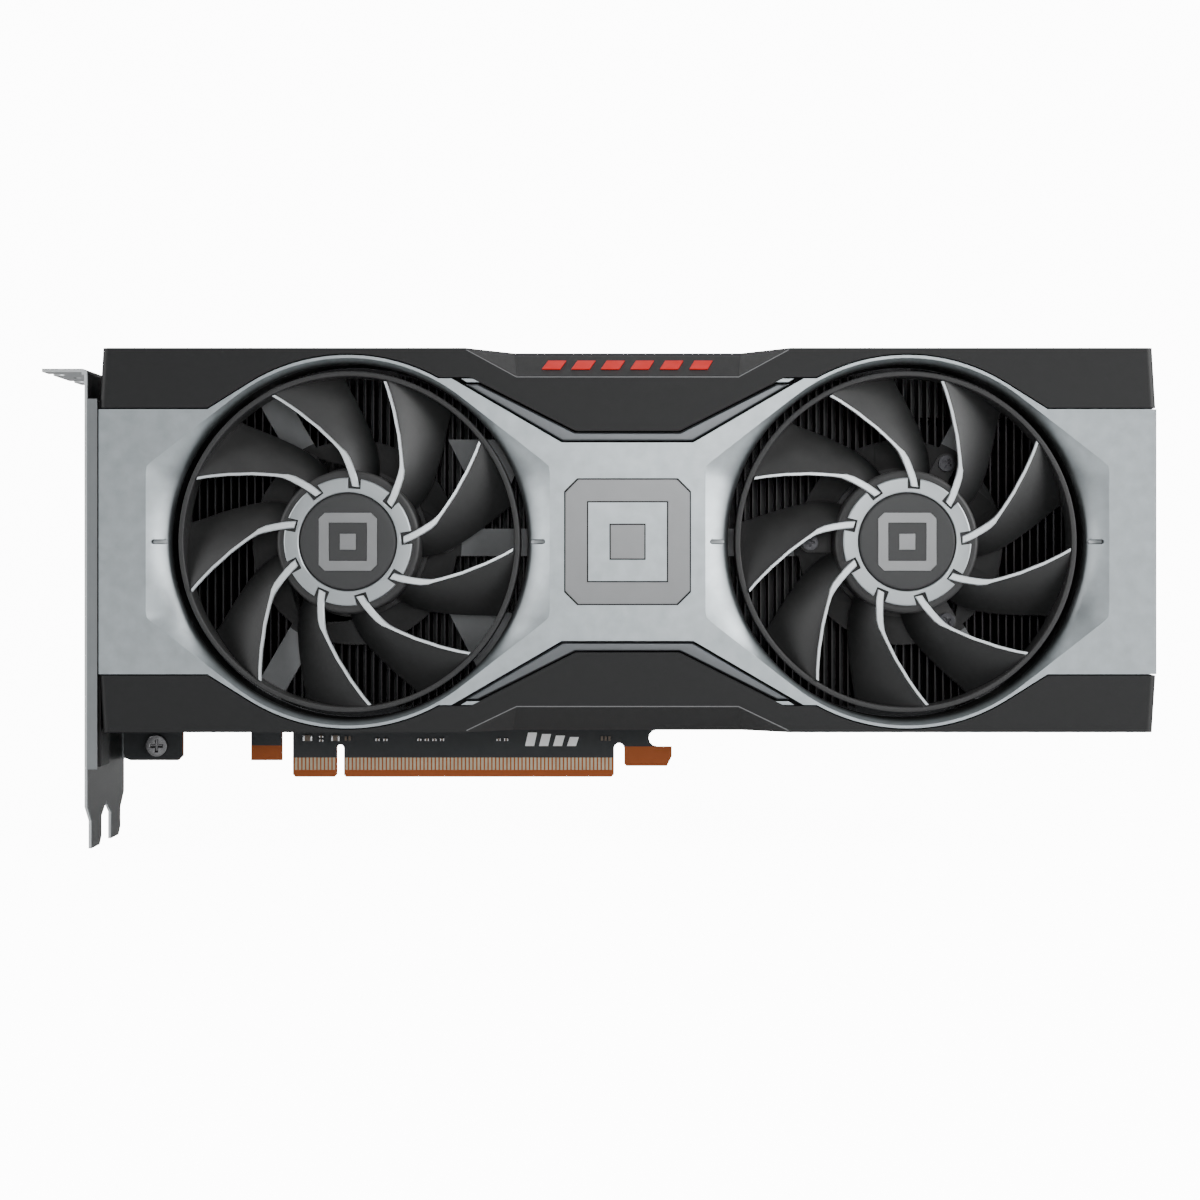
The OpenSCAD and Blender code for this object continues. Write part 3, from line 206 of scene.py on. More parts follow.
finishes = {
    "silver_plate": finish("satinSilverPaint", (0.4, 0.44, 0.46), 0.36, 0.8, 2600, bump=0.06, blotch=0.22,
                           edge=0, dusty=0, coat=0.1),
    "black_plastic": finish("charcoalSkirt", (0.0095, 0.0098, 0.0102), 0.46, 0.0, 2200, bump=0.12,
                            blotch=0.06, edge=0, dusty=0, specular=0.28),
    "grey_trim": finish("greyTrim", (0.12, 0.128, 0.135), 0.34, 0.8, 2400, bump=0.05, blotch=0.04, edge=0),
    "emblem_metal": finish("brushedEmblem", (0.235, 0.24, 0.245), 0.36, 0.9, 1500, (1, 1, 14), 0.12, 0.05,
                           edge=0, aniso=0.4),
    "red_mark": finish("redPrint", (0.62, 0.006, 0.003), 0.5, 0.0, 2000, bump=0.03, blotch=0.06,
                       specular=0.15),
    "dull_mark": finish("dullMark", (0.3, 0.32, 0.33), 0.55, 0.3, 2000),
    "motor_base_plastic": finish("greyCarrier", (0.007, 0.007, 0.0075), 0.5, 0.0, 1400, bump=0.2,
                                 blotch=0.1),
    "dark_screw": finish("blackenedSteel", (0.05, 0.05, 0.055), 0.35, 0.8, 1800, bump=0.1),
    "fan_plastic": finish("fanPlastic", (0.0165, 0.0168, 0.0172), 0.5, 0.0, 1800, bump=0.1, blotch=0.06,
                          edge=0.2, specular=0.42),
    "blade_strip": finish("silverStrip", (0.68, 0.72, 0.74), 0.36, 0.6, 2400, bump=0.05, blotch=0.04,
                          edge=0),
    "hub_silver": finish("hubSilver", (0.39, 0.42, 0.435), 0.36, 0.85, 2400, bump=0.05, blotch=0.05,
                         edge=0),
    "hub_cap": finish("hubCapSatin", (0.034, 0.035, 0.036), 0.42, 0.2, 1500, bump=0.06, blotch=0.06, edge=0,
                      specular=0.4),
    "magnet": finish("ferrite", (0.03, 0.028, 0.027), 0.7, 0.2, 1200, bump=0.25),
    "shaft_steel": finish("groundSteel", (0.6, 0.6, 0.61), 0.16, 1.0, 1600, (1, 12, 1), 0.04, 0.03),
    "copper_winding": finish("windingCopper", (0.45, 0.18, 0.07), 0.3, 0.85, 900, (1, 8, 1), 0.3, 0.15),
    "bearing_bronze": finish("sinteredBronze", (0.4, 0.27, 0.12), 0.5, 0.9, 1500, bump=0.2),
    # the fins get a near-black colour, far darker than bare aluminium: painted shade for the fins deep in
    # the cooler
    "fin_aluminium": finish("finAluminium", (0.012, 0.012, 0.0125), 0.45, 0.6, 1200, (1, 1, 10), 0.06,
                            0.05),
    "pipe_copper": finish("platedCopper", (0.62, 0.4, 0.3), 0.26, 1.0, 900, bump=0.06, blotch=0.08),
    "cooler_black": finish("anodisedFrame", (0.03, 0.03, 0.033), 0.45, 0.5, 1600, bump=0.08),
    "thermal_pad": finish("thermalPad", (0.36, 0.39, 0.46), 0.8, 0.0, 700, bump=0.3, blotch=0.08),
    "contact_gold": finish("contactGold", (0.36, 0.31, 0.22), 0.42, 0.8, 1500, bump=0.04, blotch=0.06),
    "package_green": finish("packageGreen", (0.02, 0.1, 0.055), 0.4, 0.0, 900, bump=0.06),
    "die_silicon": finish("polishedDie", (0.12, 0.13, 0.15), 0.08, 0.9, 500, bump=0.01, blotch=0.03),
    "chip_black": finish("chipEpoxy", (0.025, 0.025, 0.027), 0.6, 0.0, 2200, bump=0.3, blotch=0.08),
    "choke_grey": finish("pressedFerrite", (0.13, 0.13, 0.135), 0.65, 0.2, 1500, bump=0.35, blotch=0.12),
    "capacitor_can": finish("canAluminium", (0.6, 0.61, 0.63), 0.24, 1.0, 1200, (1, 10, 1), 0.04, 0.04),
    "small_parts": finish("ceramicParts", (0.1, 0.075, 0.055), 0.45, 0.1, 1500, bump=0.1, blotch=0.2),
    "socket_black": finish("socketNylon", (0.02, 0.02, 0.021), 0.5, 0.0, 1600, bump=0.2, blotch=0.08),
    "port_steel": finish("portShell", (0.6, 0.61, 0.63), 0.22, 1.0, 1500, bump=0.04, blotch=0.05),
    "tongue_black": finish("portTongue", (0.02, 0.02, 0.02), 0.45, 0.0, 1500, bump=0.1),
    "bright_screw": finish("nickelScrew", (0.2, 0.2, 0.205), 0.22, 1.0, 1500, bump=0.08, blotch=0.06,
                           edge=0.6),
    "backplate_black": finish("anodisedBackplate", (0.022, 0.022, 0.024), 0.4, 0.55, 1900, bump=0.1,
                              blotch=0.12, edge=0),
    "standoff_brass": finish("nickelBrass", (0.5, 0.44, 0.3), 0.28, 1.0, 1500, bump=0.05),
    "spring_steel": finish("springSteel", (0.45, 0.46, 0.48), 0.28, 1.0, 1300, (8, 1, 1), 0.06, 0.05),
    "board_white": finish("whitePrint", (0.75, 0.76, 0.76), 0.6, 0.0, 1500, bump=0.05, blotch=0.05),
}


# where the board shows laminate: (from, to, below) along x and up z
bareSpans = {"contacts": (-13, 73, 5.15), "hook": (74.6, 90, 8.1), "guide": (-24.6, -14.6, 8.35)}


def boardFinish():  # dark mask on the faces, laminate on the cut edges and round the contacts
    material = finish("solderMask", (0.032, 0.0345, 0.0365), 0.6, 0.0, 1800, bump=0.1, blotch=0.1, edge=0.1,
                      specular=0.2)
    tree, shader, base = surfaceOf(material)
    spot = spotOf(tree)
    cut = mathNode(tree, "LESS_THAN", mathNode(tree, "ABSOLUTE", facingOf(tree)["Y"]), 0.5)
    bare = cut
    for start, end, below in bareSpans.values():
        aside = mathNode(tree, "SUBTRACT", spot["X"], (start + end) / 2 * mm)
        within = mathNode(tree, "LESS_THAN", mathNode(tree, "ABSOLUTE", aside), (end - start) / 2 * mm)
        low = mathNode(tree, "LESS_THAN", spot["Z"], below * mm)
        bare = mathNode(tree, "MAXIMUM", bare, mathNode(tree, "MULTIPLY", within, low))
    tree.links.new(mixColour(tree, bare, base, (0.3, 0.075, 0.018)), shader.inputs["Base Color"])
    return material


finishes["board_mask"] = boardFinish()


def plateFinish():  # satin silver with painted shade: the colour darkens the deeper it lies down the scoops
    material = finishes["silver_plate"]
    tree, shader, base = surfaceOf(material)
    spot = spotOf(tree)
    fall = tree.nodes.new("ShaderNodeMapRange")
    fall.interpolation_type = "SMOOTHSTEP"
    fall.inputs["From Min"].default_value = frontY + 0.6 * mm
    fall.inputs["From Max"].default_value = frontY + 3.6 * mm
    fall.inputs["To Max"].default_value = 0.88
    tree.links.new(spot["Y"], fall.inputs["Value"])
    along = mathNode(tree, "ABSOLUTE", mathNode(tree, "SUBTRACT", spot["X"], midX))
    inScoop = mathNode(tree, "LESS_THAN", along, halfLength - 4 * mm)
    # painted shade down the scoops, kept off the rolled ends and cheeks
    paintedShade = mathNode(tree, "MULTIPLY", fall.outputs["Result"], inScoop)
    tree.links.new(mixColour(tree, paintedShade, base, (0.05, 0.053, 0.055)), shader.inputs["Base Color"])


plateFinish()


def carrierFinish():  # black moulding whose arms behind the fans are grey
    material = finish("mouldedFrame", (0.006, 0.006, 0.0065), 0.6, 0.0, 1400, bump=0.2, blotch=0.1,
                      specular=0.3)
    tree, shader, base = surfaceOf(material)
    spot = spotOf(tree)
    deep = mathNode(tree, "GREATER_THAN", spot["Y"], frontY + 13.9 * mm)
    along = mathNode(tree, "ABSOLUTE", mathNode(tree, "SUBTRACT", spot["X"], midX))
    across = mathNode(tree, "SUBTRACT", along, fanReach)
    up = mathNode(tree, "SUBTRACT", spot["Z"], fanZ)
    squares = [mathNode(tree, "MULTIPLY", value, value) for value in (across, up)]
    outside = mathNode(tree, "GREATER_THAN", mathNode(tree, "ADD", *squares), (27.3 * mm) ** 2)
    arms = mathNode(tree, "MULTIPLY", deep, outside)
    tree.links.new(mixColour(tree, arms, base, (0.16, 0.165, 0.17)), shader.inputs["Base Color"])
    return material


finishes["frame_plastic"] = carrierFinish()


def bracketFinish():  # plated sheet with a painted highlight on its front fold and painted shade on the face towards the card
    material = finish("nickelSheet", (0.26, 0.275, 0.285), 0.38, 0.95, 1400, (1, 1, 10), 0.05, 0.08, edge=0)
    tree, shader, base = surfaceOf(material)
    spot = spotOf(tree)
    facing = facingOf(tree)
    # faces turned towards the card are darkened as painted shade; the front fold is lightened as a painted
    # highlight
    paintedShadeInward = mathNode(tree, "GREATER_THAN", facing["X"], 0.5)
    paintedHighlightFold = mathNode(tree, "MULTIPLY", mathNode(tree, "LESS_THAN", spot["X"], -58.4 * mm),
                    mathNode(tree, "LESS_THAN", facing["Y"], -0.5))
    folded = mixColour(tree, paintedHighlightFold, base, (0.72, 0.74, 0.75))
    tree.links.new(mixColour(tree, paintedShadeInward, folded, (0.05, 0.052, 0.053)), shader.inputs["Base Color"])
    return material


finishes["bracket_steel"] = bracketFinish()
print("finishes made:", len(finishes))


def paint(piece, material):
    piece.data.materials.clear()
    piece.data.materials.append(material)


# modelling, in millimetres from the shroud's middle and the fans' height
def deselect():
    if bpy.context.object and bpy.context.object.mode != "OBJECT":
        ops.object.mode_set(mode="OBJECT")
    ops.object.select_all(action="DESELECT")


def place(u, depth, w):
    return Vector((midX + u * mm, frontY + depth * mm, fanZ + w * mm))


def activate(piece):
    deselect()
    piece.select_set(True)
    bpy.context.view_layer.objects.active = piece


def startLoop(name, points, filled="NGON"):  # a circle whose corners are moved to the points
    deselect()
    ops.mesh.primitive_circle_add(vertices=len(points), radius=0.01, fill_type=filled)
    piece = bpy.context.object
    piece.name = piece.data.name = name
    for vertex, point in zip(piece.data.vertices, points):
        vertex.co = point
    return piece


def mendNormals(piece, distance=1e-6):
    activate(piece)
    ops.object.mode_set(mode="EDIT")
    ops.mesh.select_all(action="SELECT")
    ops.mesh.remove_doubles(threshold=distance)
    ops.mesh.normals_make_consistent(inside=False)
    ops.object.mode_set(mode="OBJECT")


def slabPiece(name, outline, front, back):  # an outline in u and w with its thickness along the depth
    piece = startLoop(name, [place(u, front, w) for u, w in outline])
    ops.object.mode_set(mode="EDIT")
    ops.mesh.select_all(action="SELECT")
    ops.mesh.extrude_region_move(TRANSFORM_OT_translate={"value": (0, (back - front) * mm, 0)})
    ops.object.mode_set(mode="OBJECT")
    mendNormals(piece)
    return piece


def boxPiece(name, u, depth, w):
    return slabPiece(name, [(u[0], w[0]), (u[1], w[0]), (u[1], w[1]), (u[0], w[1])], depth[0], depth[1])


def loftPiece(name, rings):  # each ring is a list of points; the first is extruded on
    piece = startLoop(name, rings[0])
    ops.object.mode_set(mode="EDIT")
    ops.mesh.select_mode(type="VERT")
    ops.mesh.select_all(action="SELECT")
    for ring in rings[1:]:
        ops.mesh.extrude_region_move(TRANSFORM_OT_translate={"value": (0, 1e-4, 0)})
        edit = bmesh.from_edit_mesh(piece.data)
        chosen = [vertex for vertex in edit.verts if vertex.select]
        for vertex, point in zip(chosen, ring):
            vertex.co = point
        bmesh.update_edit_mesh(piece.data)
    ops.object.mode_set(mode="OBJECT")
    mendNormals(piece)
    return piece


def turnedPiece(name, profile, centre, steps=96):  # profile of (radius, depth) turned about a fan's axis
    piece = startLoop(name, [Vector((centre[0] + r * mm, frontY + d * mm, centre[1])) for r, d in profile],
                      "NOTHING")
    ops.object.mode_set(mode="EDIT")
    ops.mesh.select_all(action="SELECT")
    ops.mesh.spin(steps=steps, angle=2 * pi, center=(centre[0], frontY, centre[1]), axis=(0, 1, 0))
    ops.object.mode_set(mode="OBJECT")
    mendNormals(piece)
    return piece


def combine(piece, other, operation="DIFFERENCE"):
    modifier = piece.modifiers.new("combine", "BOOLEAN")
    modifier.object = other
    modifier.operation = operation
    modifier.solver = "EXACT"
    activate(piece)
    ops.object.modifier_apply(modifier=modifier.name)
    bpy.data.objects.remove(other)
    return piece


def joinPieces(name, pieces):
    deselect()
    for piece in pieces:
        piece.select_set(True)
    bpy.context.view_layer.objects.active = pieces[0]
    ops.object.join()
    pieces[0].name = pieces[0].data.name = name
    return pieces[0]


def roundEdges(piece, width, segments=2, angle=30, smooth=32):
    activate(piece)
    if width:
        modifier = piece.modifiers.new("edges", "BEVEL")
        modifier.width = width * mm
        modifier.segments = segments
        modifier.limit_method = "ANGLE"
        modifier.angle_limit = radians(angle)
        modifier.use_clamp_overlap = True
        modifier.miter_outer = "MITER_ARC"
        ops.object.modifier_apply(modifier=modifier.name)
    ops.object.shade_smooth_by_angle(angle=radians(smooth))
    level = piece.modifiers.new("level", "WEIGHTED_NORMAL")
    level.keep_sharp = True
    level.weight = 100
    ops.object.modifier_apply(modifier=level.name)
    return piece


def copyPiece(piece, name, matrix):
    twin = piece.copy()
    twin.data = piece.data.copy()
    twin.name = twin.data.name = name
    bpy.context.scene.collection.objects.link(twin)
    twin.data.transform(matrix)
    if matrix.determinant() < 0:
        twin.data.flip_normals()
    return twin


def hand(piece, body, slotName, *replaced, material=None):
    paint(piece, material or finishes[slotName])
    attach(piece, body)
    if replaced:
        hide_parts(*replaced)
    return piece


mirrorW = Matrix.Translation((0, 0, fanZ)) @ Matrix.Scale(-1, 4,
                                                          (0, 0, 1)) @ Matrix.Translation((0, 0, -fanZ))


def flipU(points):
    return [(-u, w) for u, w in reversed(points)]


def flipW(points):
    return [(u, -w) for u, w in reversed(points)]


def arc(centre, radius, start, end, count):
    return [(centre[0] + radius * cos(radians(start + (end - start) * i / count)),
             centre[1] + radius * sin(radians(start + (end - start) * i / count))) for i in range(count + 1)]


reach = fanReach / mm
halfLen = halfLength / mm

# face plate
plate = {"band": 33, "rim": 46.5, "duct": 44.6, "slant": 32, "ear": 29, "waistU": 16.4, "waistW": 24.7,
         "scoopU": 50.3, "scoopW": 18.9, "scoopDepth": 4.2, "thick": 4.95, "cheeks": (12, 30)}


# right half of the plate's upper edge, from the tail inwards
def upperEdge(band, rim, waistU, waistW, ear, earIn, count=28):
    slant = plate["slant"]
    tangent = (reach + rim * sin(radians(slant)), rim * cos(radians(slant)))
    turn = (tangent[0] + (tangent[1] - band) / (sin(radians(slant)) / cos(radians(slant))), band)
    points = [(halfLen, band), turn] + arc((reach, 0), rim, 90 - slant, 90 + ear, count)
    return points + [(points[-1][0] - earIn, points[-1][1]), (waistU, waistW)]


def roundCorner(points, index, radius, steps=6):  # swaps a corner for an arc
    before, corner, after = (Vector(points[(index + i) % len(points)]) for i in (-1, 0, 1))
    first, second = (before - corner).normalized(), (after - corner).normalized()
    half = acos(max(-1, min(1, first.dot(second)))) / 2
    reachIn = radius / (sin(half) / cos(half))
    start, end = corner + first * reachIn, corner + second * reachIn
    middle = corner + (first + second).normalized() * (radius / sin(half))
    made = []
    for i in range(steps + 1):
        blendPoint = start.lerp(end, i / steps)
        made.append(tuple(middle + (blendPoint - middle).normalized() * radius))
    return points[:index] + made + points[index + 1:]


plateUpper = upperEdge(plate["band"], plate["rim"], plate["waistU"], plate["waistW"], plate["ear"], 3.3)
plateHalf = plateUpper + flipU(plateUpper)
facePlate = slabPiece("facePlate", plateHalf + flipW(plateHalf), 0, plate["thick"])
for end, cheek in ((-1, plate["cheeks"][0]), (1, plate["cheeks"][1])):
    inside, outside = sorted((end * (halfLen - 1.5), end * halfLen))
    side = boxPiece("cheek", (inside, outside), (plate["thick"] - 0.5, cheek),
                    (-plate["band"], plate["band"]))
    combine(facePlate, side, "UNION")

# the long end edges are rolled over
activate(facePlate)
ops.object.mode_set(mode="EDIT")
edit = bmesh.from_edit_mesh(facePlate.data)
for edge in edit.edges:
    a, b = (v.co for v in edge.verts)
    edge.select = (abs(a.y - frontY) < 1e-6 and abs(b.y - frontY) < 1e-6
                   and abs(abs(a.x - midX) - halfLength) < 1e-5 and abs(abs(b.x - midX) - halfLength) < 1e-5)
bmesh.update_edit_mesh(facePlate.data)
ops.mesh.bevel(offset=1.7 * mm, segments=6)
ops.object.mode_set(mode="OBJECT")


def scoopReach(angle, corner=1.8):  # distance from a fan's axis to the crease of its scoop
    best = 1e9
    for step in range(720):
        turn = 2 * pi * step / 720
        facing = cos(turn - angle)
        if facing < 0.05:
            continue
        supports = [plate["duct"] + 1.2]
        for u in (-1, 1):
            for w in (-1, 1):
                supports.append(u * (plate["scoopU"] - corner) * cos(turn)
                                + w * (plate["scoopW"] + 0.9 - corner) * sin(turn) + corner)
        best = min(best, max(supports) / facing)
    return best


scoopCount = 192
scoopAngles = [2 * pi * i / scoopCount for i in range(scoopCount)]
scoopEdge = [scoopReach(angle) for angle in scoopAngles]
rollSteps = 9
for side in (-1, 1):
    rings = []
    # straight above the plate, then over the lip and down into the duct
    for lift in (-1, 0):
        rings.append([place(side * reach + r * cos(a), lift, r * sin(a)) for a,
                      r in zip(scoopAngles, scoopEdge)])
    for step in range(1, rollSteps + 1):
        t = step / rollSteps
        depth = plate["scoopDepth"] * (0.62 * t + 0.38 * (1 - sqrt(max(0, 1 - t ** 2.4))))
        rings.append([place(side * reach + (r + (plate["duct"] - r) * t) * cos(a), depth,
                            (r + (plate["duct"] - r) * t) * sin(a)) for a,
                            r in zip(scoopAngles, scoopEdge)])
    rings.append([place(side * reach + plate["duct"] * cos(a), 8,
                        plate["duct"] * sin(a)) for a in scoopAngles])
    combine(facePlate, loftPiece("scoopCutter", rings))


def slotOutline(u, w, length, width, steps=10):
    half = (length - width) / 2
    return arc((u + half, w), width / 2, -90, 90, steps) + arc((u - half, w), width / 2, 90, 270, steps)


def squareOf(half):
    return [(-half, -half), (half, -half), (half, half), (-half, half)]


# the generic chip sign: its outer outline, the square inside its frame, and its core
def emblemRings(size, stroke, core, grow=0.0):
    cut, s = stroke * 0.6, size / 2 + grow
    inner, dot = size / 2 - stroke - grow, core / 2 + grow
    outer = [(cut - s, -s), (s - cut, -s), (s, cut - s), (s, s - cut),
             (s - cut, s), (cut - s, s), (-s, s - cut), (-s, cut - s)]
    return outer, squareOf(inner), squareOf(dot)


emblem = {"size": 31, "stroke": 5.4, "core": 8.4, "gap": 0.32, "depth": 0.9}
outer, inner, core = emblemRings(emblem["size"], emblem["stroke"], emblem["core"], emblem["gap"])
pocket = slabPiece("pocket", outer, -1, emblem["depth"])
combine(pocket, slabPiece("island", inner, -2, emblem["depth"] + 1))
combine(facePlate, pocket)
combine(facePlate, slabPiece("corePocket", core, -1, emblem["depth"]))
for side in (-1, 1):
    for end in (-1, 1):
        combine(facePlate, slabPiece("markSlot", slotOutline(side * reach + end * 47.3, 0, 3.7, 1.2), -1,
                                     4))
activate(facePlate)
ops.object.mode_set(mode="EDIT")
ops.mesh.select_mode(type="EDGE")
edit = bmesh.from_edit_mesh(facePlate.data)
for edge in edit.edges:  # the crease round each scoop
    onFront = all(abs(vertex.co.y - frontY) < 1e-6 for vertex in edge.verts)
    folded = len(edge.link_faces) == 2 and radians(4) < edge.calc_face_angle() < radians(40)
    edge.select_set(onFront and folded
                    and abs(edge.verts[0].co.x - midX) < halfLength - 2 * mm)
bmesh.update_edit_mesh(facePlate.data)
ops.mesh.bevel(offset=0.22 * mm, segments=2, clamp_overlap=True)
ops.object.mode_set(mode="OBJECT")
roundEdges(facePlate, 0.28, 3, 38, 34)
hand(facePlate, "card", "silver_plate", "face_plate")
print("face plate:", len(facePlate.data.vertices))

# marks in the scoops and the emblem in the middle
marks = []
for side in (-1, 1):
    for end in (-1, 1):
        marks.append(slabPiece("mark", slotOutline(side * reach + end * 47.3, 0, 3.5, 1.0), 2.4, 4))
plateMarks = roundEdges(joinPieces("plateMarks", marks), 0.15)
hand(plateMarks, "card", "dull_mark", "plate_marks")

outer, inner, core = emblemRings(emblem["size"], emblem["stroke"], emblem["core"])
centreEmblem = combine(slabPiece("centreEmblem", outer, 0.03, emblem["depth"]),
                       slabPiece("hole", inner, -1, 2))
centreEmblem = joinPieces("centreEmblem", [centreEmblem, slabPiece("core", core, 0.03, emblem["depth"])])
roundEdges(centreEmblem, 0.08)
hand(centreEmblem, "card", "emblem_metal", "centre_emblem")

# a black gasket that shows as a fine line round the emblem
outer, inner, core = emblemRings(emblem["size"], emblem["stroke"], emblem["core"], emblem["gap"] - 0.02)
gasket = combine(slabPiece("emblemGasket", outer, 0.18, emblem["depth"] - 0.05),
                 slabPiece("hole", inner, -1, 2))
gasket = joinPieces("emblemGasket", [gasket, slabPiece("coreGasket", core, 0.18, emblem["depth"] - 0.05)])
hand(roundEdges(gasket, 0.03, 1), "card", "black_plastic")

# skirts
skirts = {"top": 48.3, "bottom": 47.5, "seam": 0.35, "taper": 0.9, "side": 1.2, "depth": 24,
          "panelU": 12.9, "panelW": 27.6, "panelEndU": 39.3, "bevelU": 27.6, "bevelW": 41.3,
          "bevelReach": 12.9, "topSlope": 13.7, "bottomSlope": 8}


def skirtPiece(name, top, slope):
    seam, rim = skirts["seam"], plate["rim"] + skirts["seam"]
    slant = plate["slant"]
    tangent = (reach + rim * sin(radians(slant)), rim * cos(radians(slant)))
    band = plate["band"] + seam
    turnU = tangent[0] + (tangent[1] - band) / (sin(radians(slant)) / cos(radians(slant)))
    earPoint = arc((reach, 0), rim, 90 - slant, 90 + plate["ear"], 30)
    half = ([(halfLen - skirts["taper"], top), (halfLen, band), (turnU, band)] + earPoint
            + [(skirts["panelEndU"], earPoint[-1][1]), (skirts["panelU"], skirts["panelW"])])
    outline = half[1:] + flipU(half[1:]) + [(-halfLen + skirts["taper"], top),
                                            (halfLen - skirts["taper"], top)]
    innerCorner = len(half) - 2
    outline = roundCorner(outline, innerCorner + 1, 1.6, 4)
    outline = roundCorner(outline, innerCorner, 1.6, 4)
    # the outline runs from the tail inwards, so it is turned to face the front
    skirt = slabPiece(name, list(reversed(outline)), 0, 2.2)
    wall = boxPiece("wall", (-halfLen + skirts["taper"], halfLen - skirts["taper"]), (1.2, skirts["depth"]),
                    (top - skirts["side"], top))
    for side in (-1, 1):
        combine(wall, turnedPiece("rimCutter", [(0.01, -1), (rim, -1), (rim, 6), (0.01, 6)],
                                  fanCentres["left" if side < 0 else "right"], 128))
    combine(skirt, wall, "UNION")
    for end, cheek in ((-1, plate["cheeks"][0]), (1, plate["cheeks"][1])):
        corner = [(halfLen - 2 - skirts["taper"], top), (halfLen - 2, band), (halfLen, band),
                  (halfLen - skirts["taper"], top)]
        corner = corner if end > 0 else flipU(corner)
        combine(skirt, slabPiece("cheek", corner, 1.2, cheek), "UNION")
    # the sloping facet in the middle: a wedge is added behind it, then the front is cut away
    bevelU, bevelW, far = skirts["bevelU"], skirts["bevelW"], skirts["bevelU"] + skirts["bevelReach"]
    back = bevelU + 1.3

    def facet(name, front, up):
        corners = [(bevelU, 0, bevelW), (far, 0, top), (back, slope, top)]
        ring = []
        for side in (-1, 1):
            for u, depth, w in corners:
                ring.append(place(side * u, depth, w))
                ring.append(place(side * u, depth + front, w + up))
        deselect()
        ops.mesh.primitive_circle_add(vertices=len(ring), radius=0.01)
        piece = bpy.context.object
        piece.name = name
        for vertex, point in zip(piece.data.vertices, ring):
            vertex.co = point
        ops.object.mode_set(mode="EDIT")
        ops.mesh.select_all(action="SELECT")
        ops.mesh.convex_hull()
        ops.object.mode_set(mode="OBJECT")
        mendNormals(piece)
        return piece

    inside = facet("wedge", 2.2, -0.9)
    combine(inside, boxPiece("lid", (-halfLen, halfLen), (-20, 40), (top, top + 20)))
    combine(skirt, inside, "UNION")
    combine(skirt, facet("facetCutter", -4, 4))
    activate(skirt)
    ops.object.mode_set(mode="EDIT")
    ops.mesh.select_mode(type="EDGE")
    edit = bmesh.from_edit_mesh(skirt.data)
    for edge in edit.edges:  # the two ends are rolled over like the plate's
        onFront = all(abs(v.co.y - frontY) < 1e-6 for v in edge.verts)
        atEnd = all(abs(v.co.x - midX) > halfLength - 1.2 * mm for v in edge.verts)
        edge.select_set(onFront and atEnd
                        and abs(edge.verts[0].co.z - edge.verts[1].co.z) > 5 * mm)
    bmesh.update_edit_mesh(skirt.data)
    ops.mesh.bevel(offset=1.7 * mm, segments=5)
    ops.object.mode_set(mode="OBJECT")
    return skirt


for name, node, top, slope in (("topSkirt", "top_skirt", skirts["top"], skirts["topSlope"]),
                               ("bottomSkirt", "bottom_skirt", skirts["bottom"], skirts["bottomSlope"])):
    skirt = skirtPiece(name, top, slope)
    if node == "bottom_skirt":
        skirt.data.transform(mirrorW)
        mendNormals(skirt)
    roundEdges(skirt, 0.3, 3, 18, 30)
    hand(skirt, "card", "black_plastic", node)
    print(name, len(skirt.data.vertices))

# a painted highlight: a fine lighter strip along the fold of each skirt's facet
foldHighlightLine = {"near": 0.1, "far": 0.4, "front": -0.02, "back": 0.35, "end": 0.5}
# grey strip on the black skirt stands in for light on the fold: painted highlight
foldShine = finish("foldShine", (0.12, 0.122, 0.125), 0.4, 0.2, 2200, bump=0.08, blotch=0.06, edge=0,
                   dusty=0)
for name, top, flip in (("topFold", skirts["top"], False), ("bottomFold", skirts["bottom"], True)):
    corner = Vector((skirts["bevelU"], skirts["bevelW"]))
    run = (Vector((skirts["bevelU"] + skirts["bevelReach"], top)) - corner)
    aside = Vector((run.y, -run.x)).normalized()
    end = corner + run - run.normalized() * foldHighlightLine["end"]
    half = []
    for offset in (foldHighlightLine["far"], foldHighlightLine["near"]):
        pair = [corner + Vector((0.25, -1)) * offset, end + aside * offset]
        half += [tuple(point) for point in (pair if offset == foldHighlightLine["far"] else reversed(pair))]
    line = slabPiece(name, half + flipU(half), foldHighlightLine["front"], foldHighlightLine["back"])
    if flip:
        line.data.transform(mirrorW)
        mendNormals(line)
    hand(roundEdges(line, 0.06), "card", "black_plastic", material=foldShine)

# trim along the waist
trim = {"front": 0.6, "back": 4.95}
trimHalf = [(13.1, 27.3), (37.2, 39.35), (40.6, 39.35), (16.2, 25.15)]
trimOutline = trimHalf + flipU(trimHalf)
for name, node, flip in (("upperTrim", "upper_trim", False), ("lowerTrim", "lower_trim", True)):
    strip = slabPiece(name, list(reversed(trimOutline)), trim["front"], trim["back"])
    if flip:
        strip.data.transform(mirrorW)
        mendNormals(strip)
    roundEdges(strip, 0.5, 3)
    hand(strip, "card", "grey_trim", node)

# a dark strip fills the gap beside the bracket: painted shade for the shadow inside that gap
gapShade = {"x": -58.1, "z": (5.6, 97.3), "depth": (3, 12)}
gapShadeU = (gapShade["x"] - midX / mm, -halfLen - 0.1)
gapShadeStrip = boxPiece("gapStrip", gapShadeU, gapShade["depth"], [z - fanZ / mm for z in gapShade["z"]])
hand(roundEdges(gapShadeStrip, 0.4), "card", "black_plastic")

# small silver steps where the trims meet the plate's ears
stepHalf = {"outline": [(36.3, 39.75), (40.1, 39.75), (41.6, 40.7), (37.9, 40.7)], "depth": (0.25, 1.2)}
steps = []
for across in (-1, 1):
    for up in (-1, 1):
        outline = [(u * across, w * up) for u, w in stepHalf["outline"]]
        steps.append(slabPiece("step", outline if across * up > 0 else list(reversed(outline)),
                               *stepHalf["depth"]))
hand(roundEdges(joinPieces("trimSteps", steps), 0.12), "card", "silver_plate")

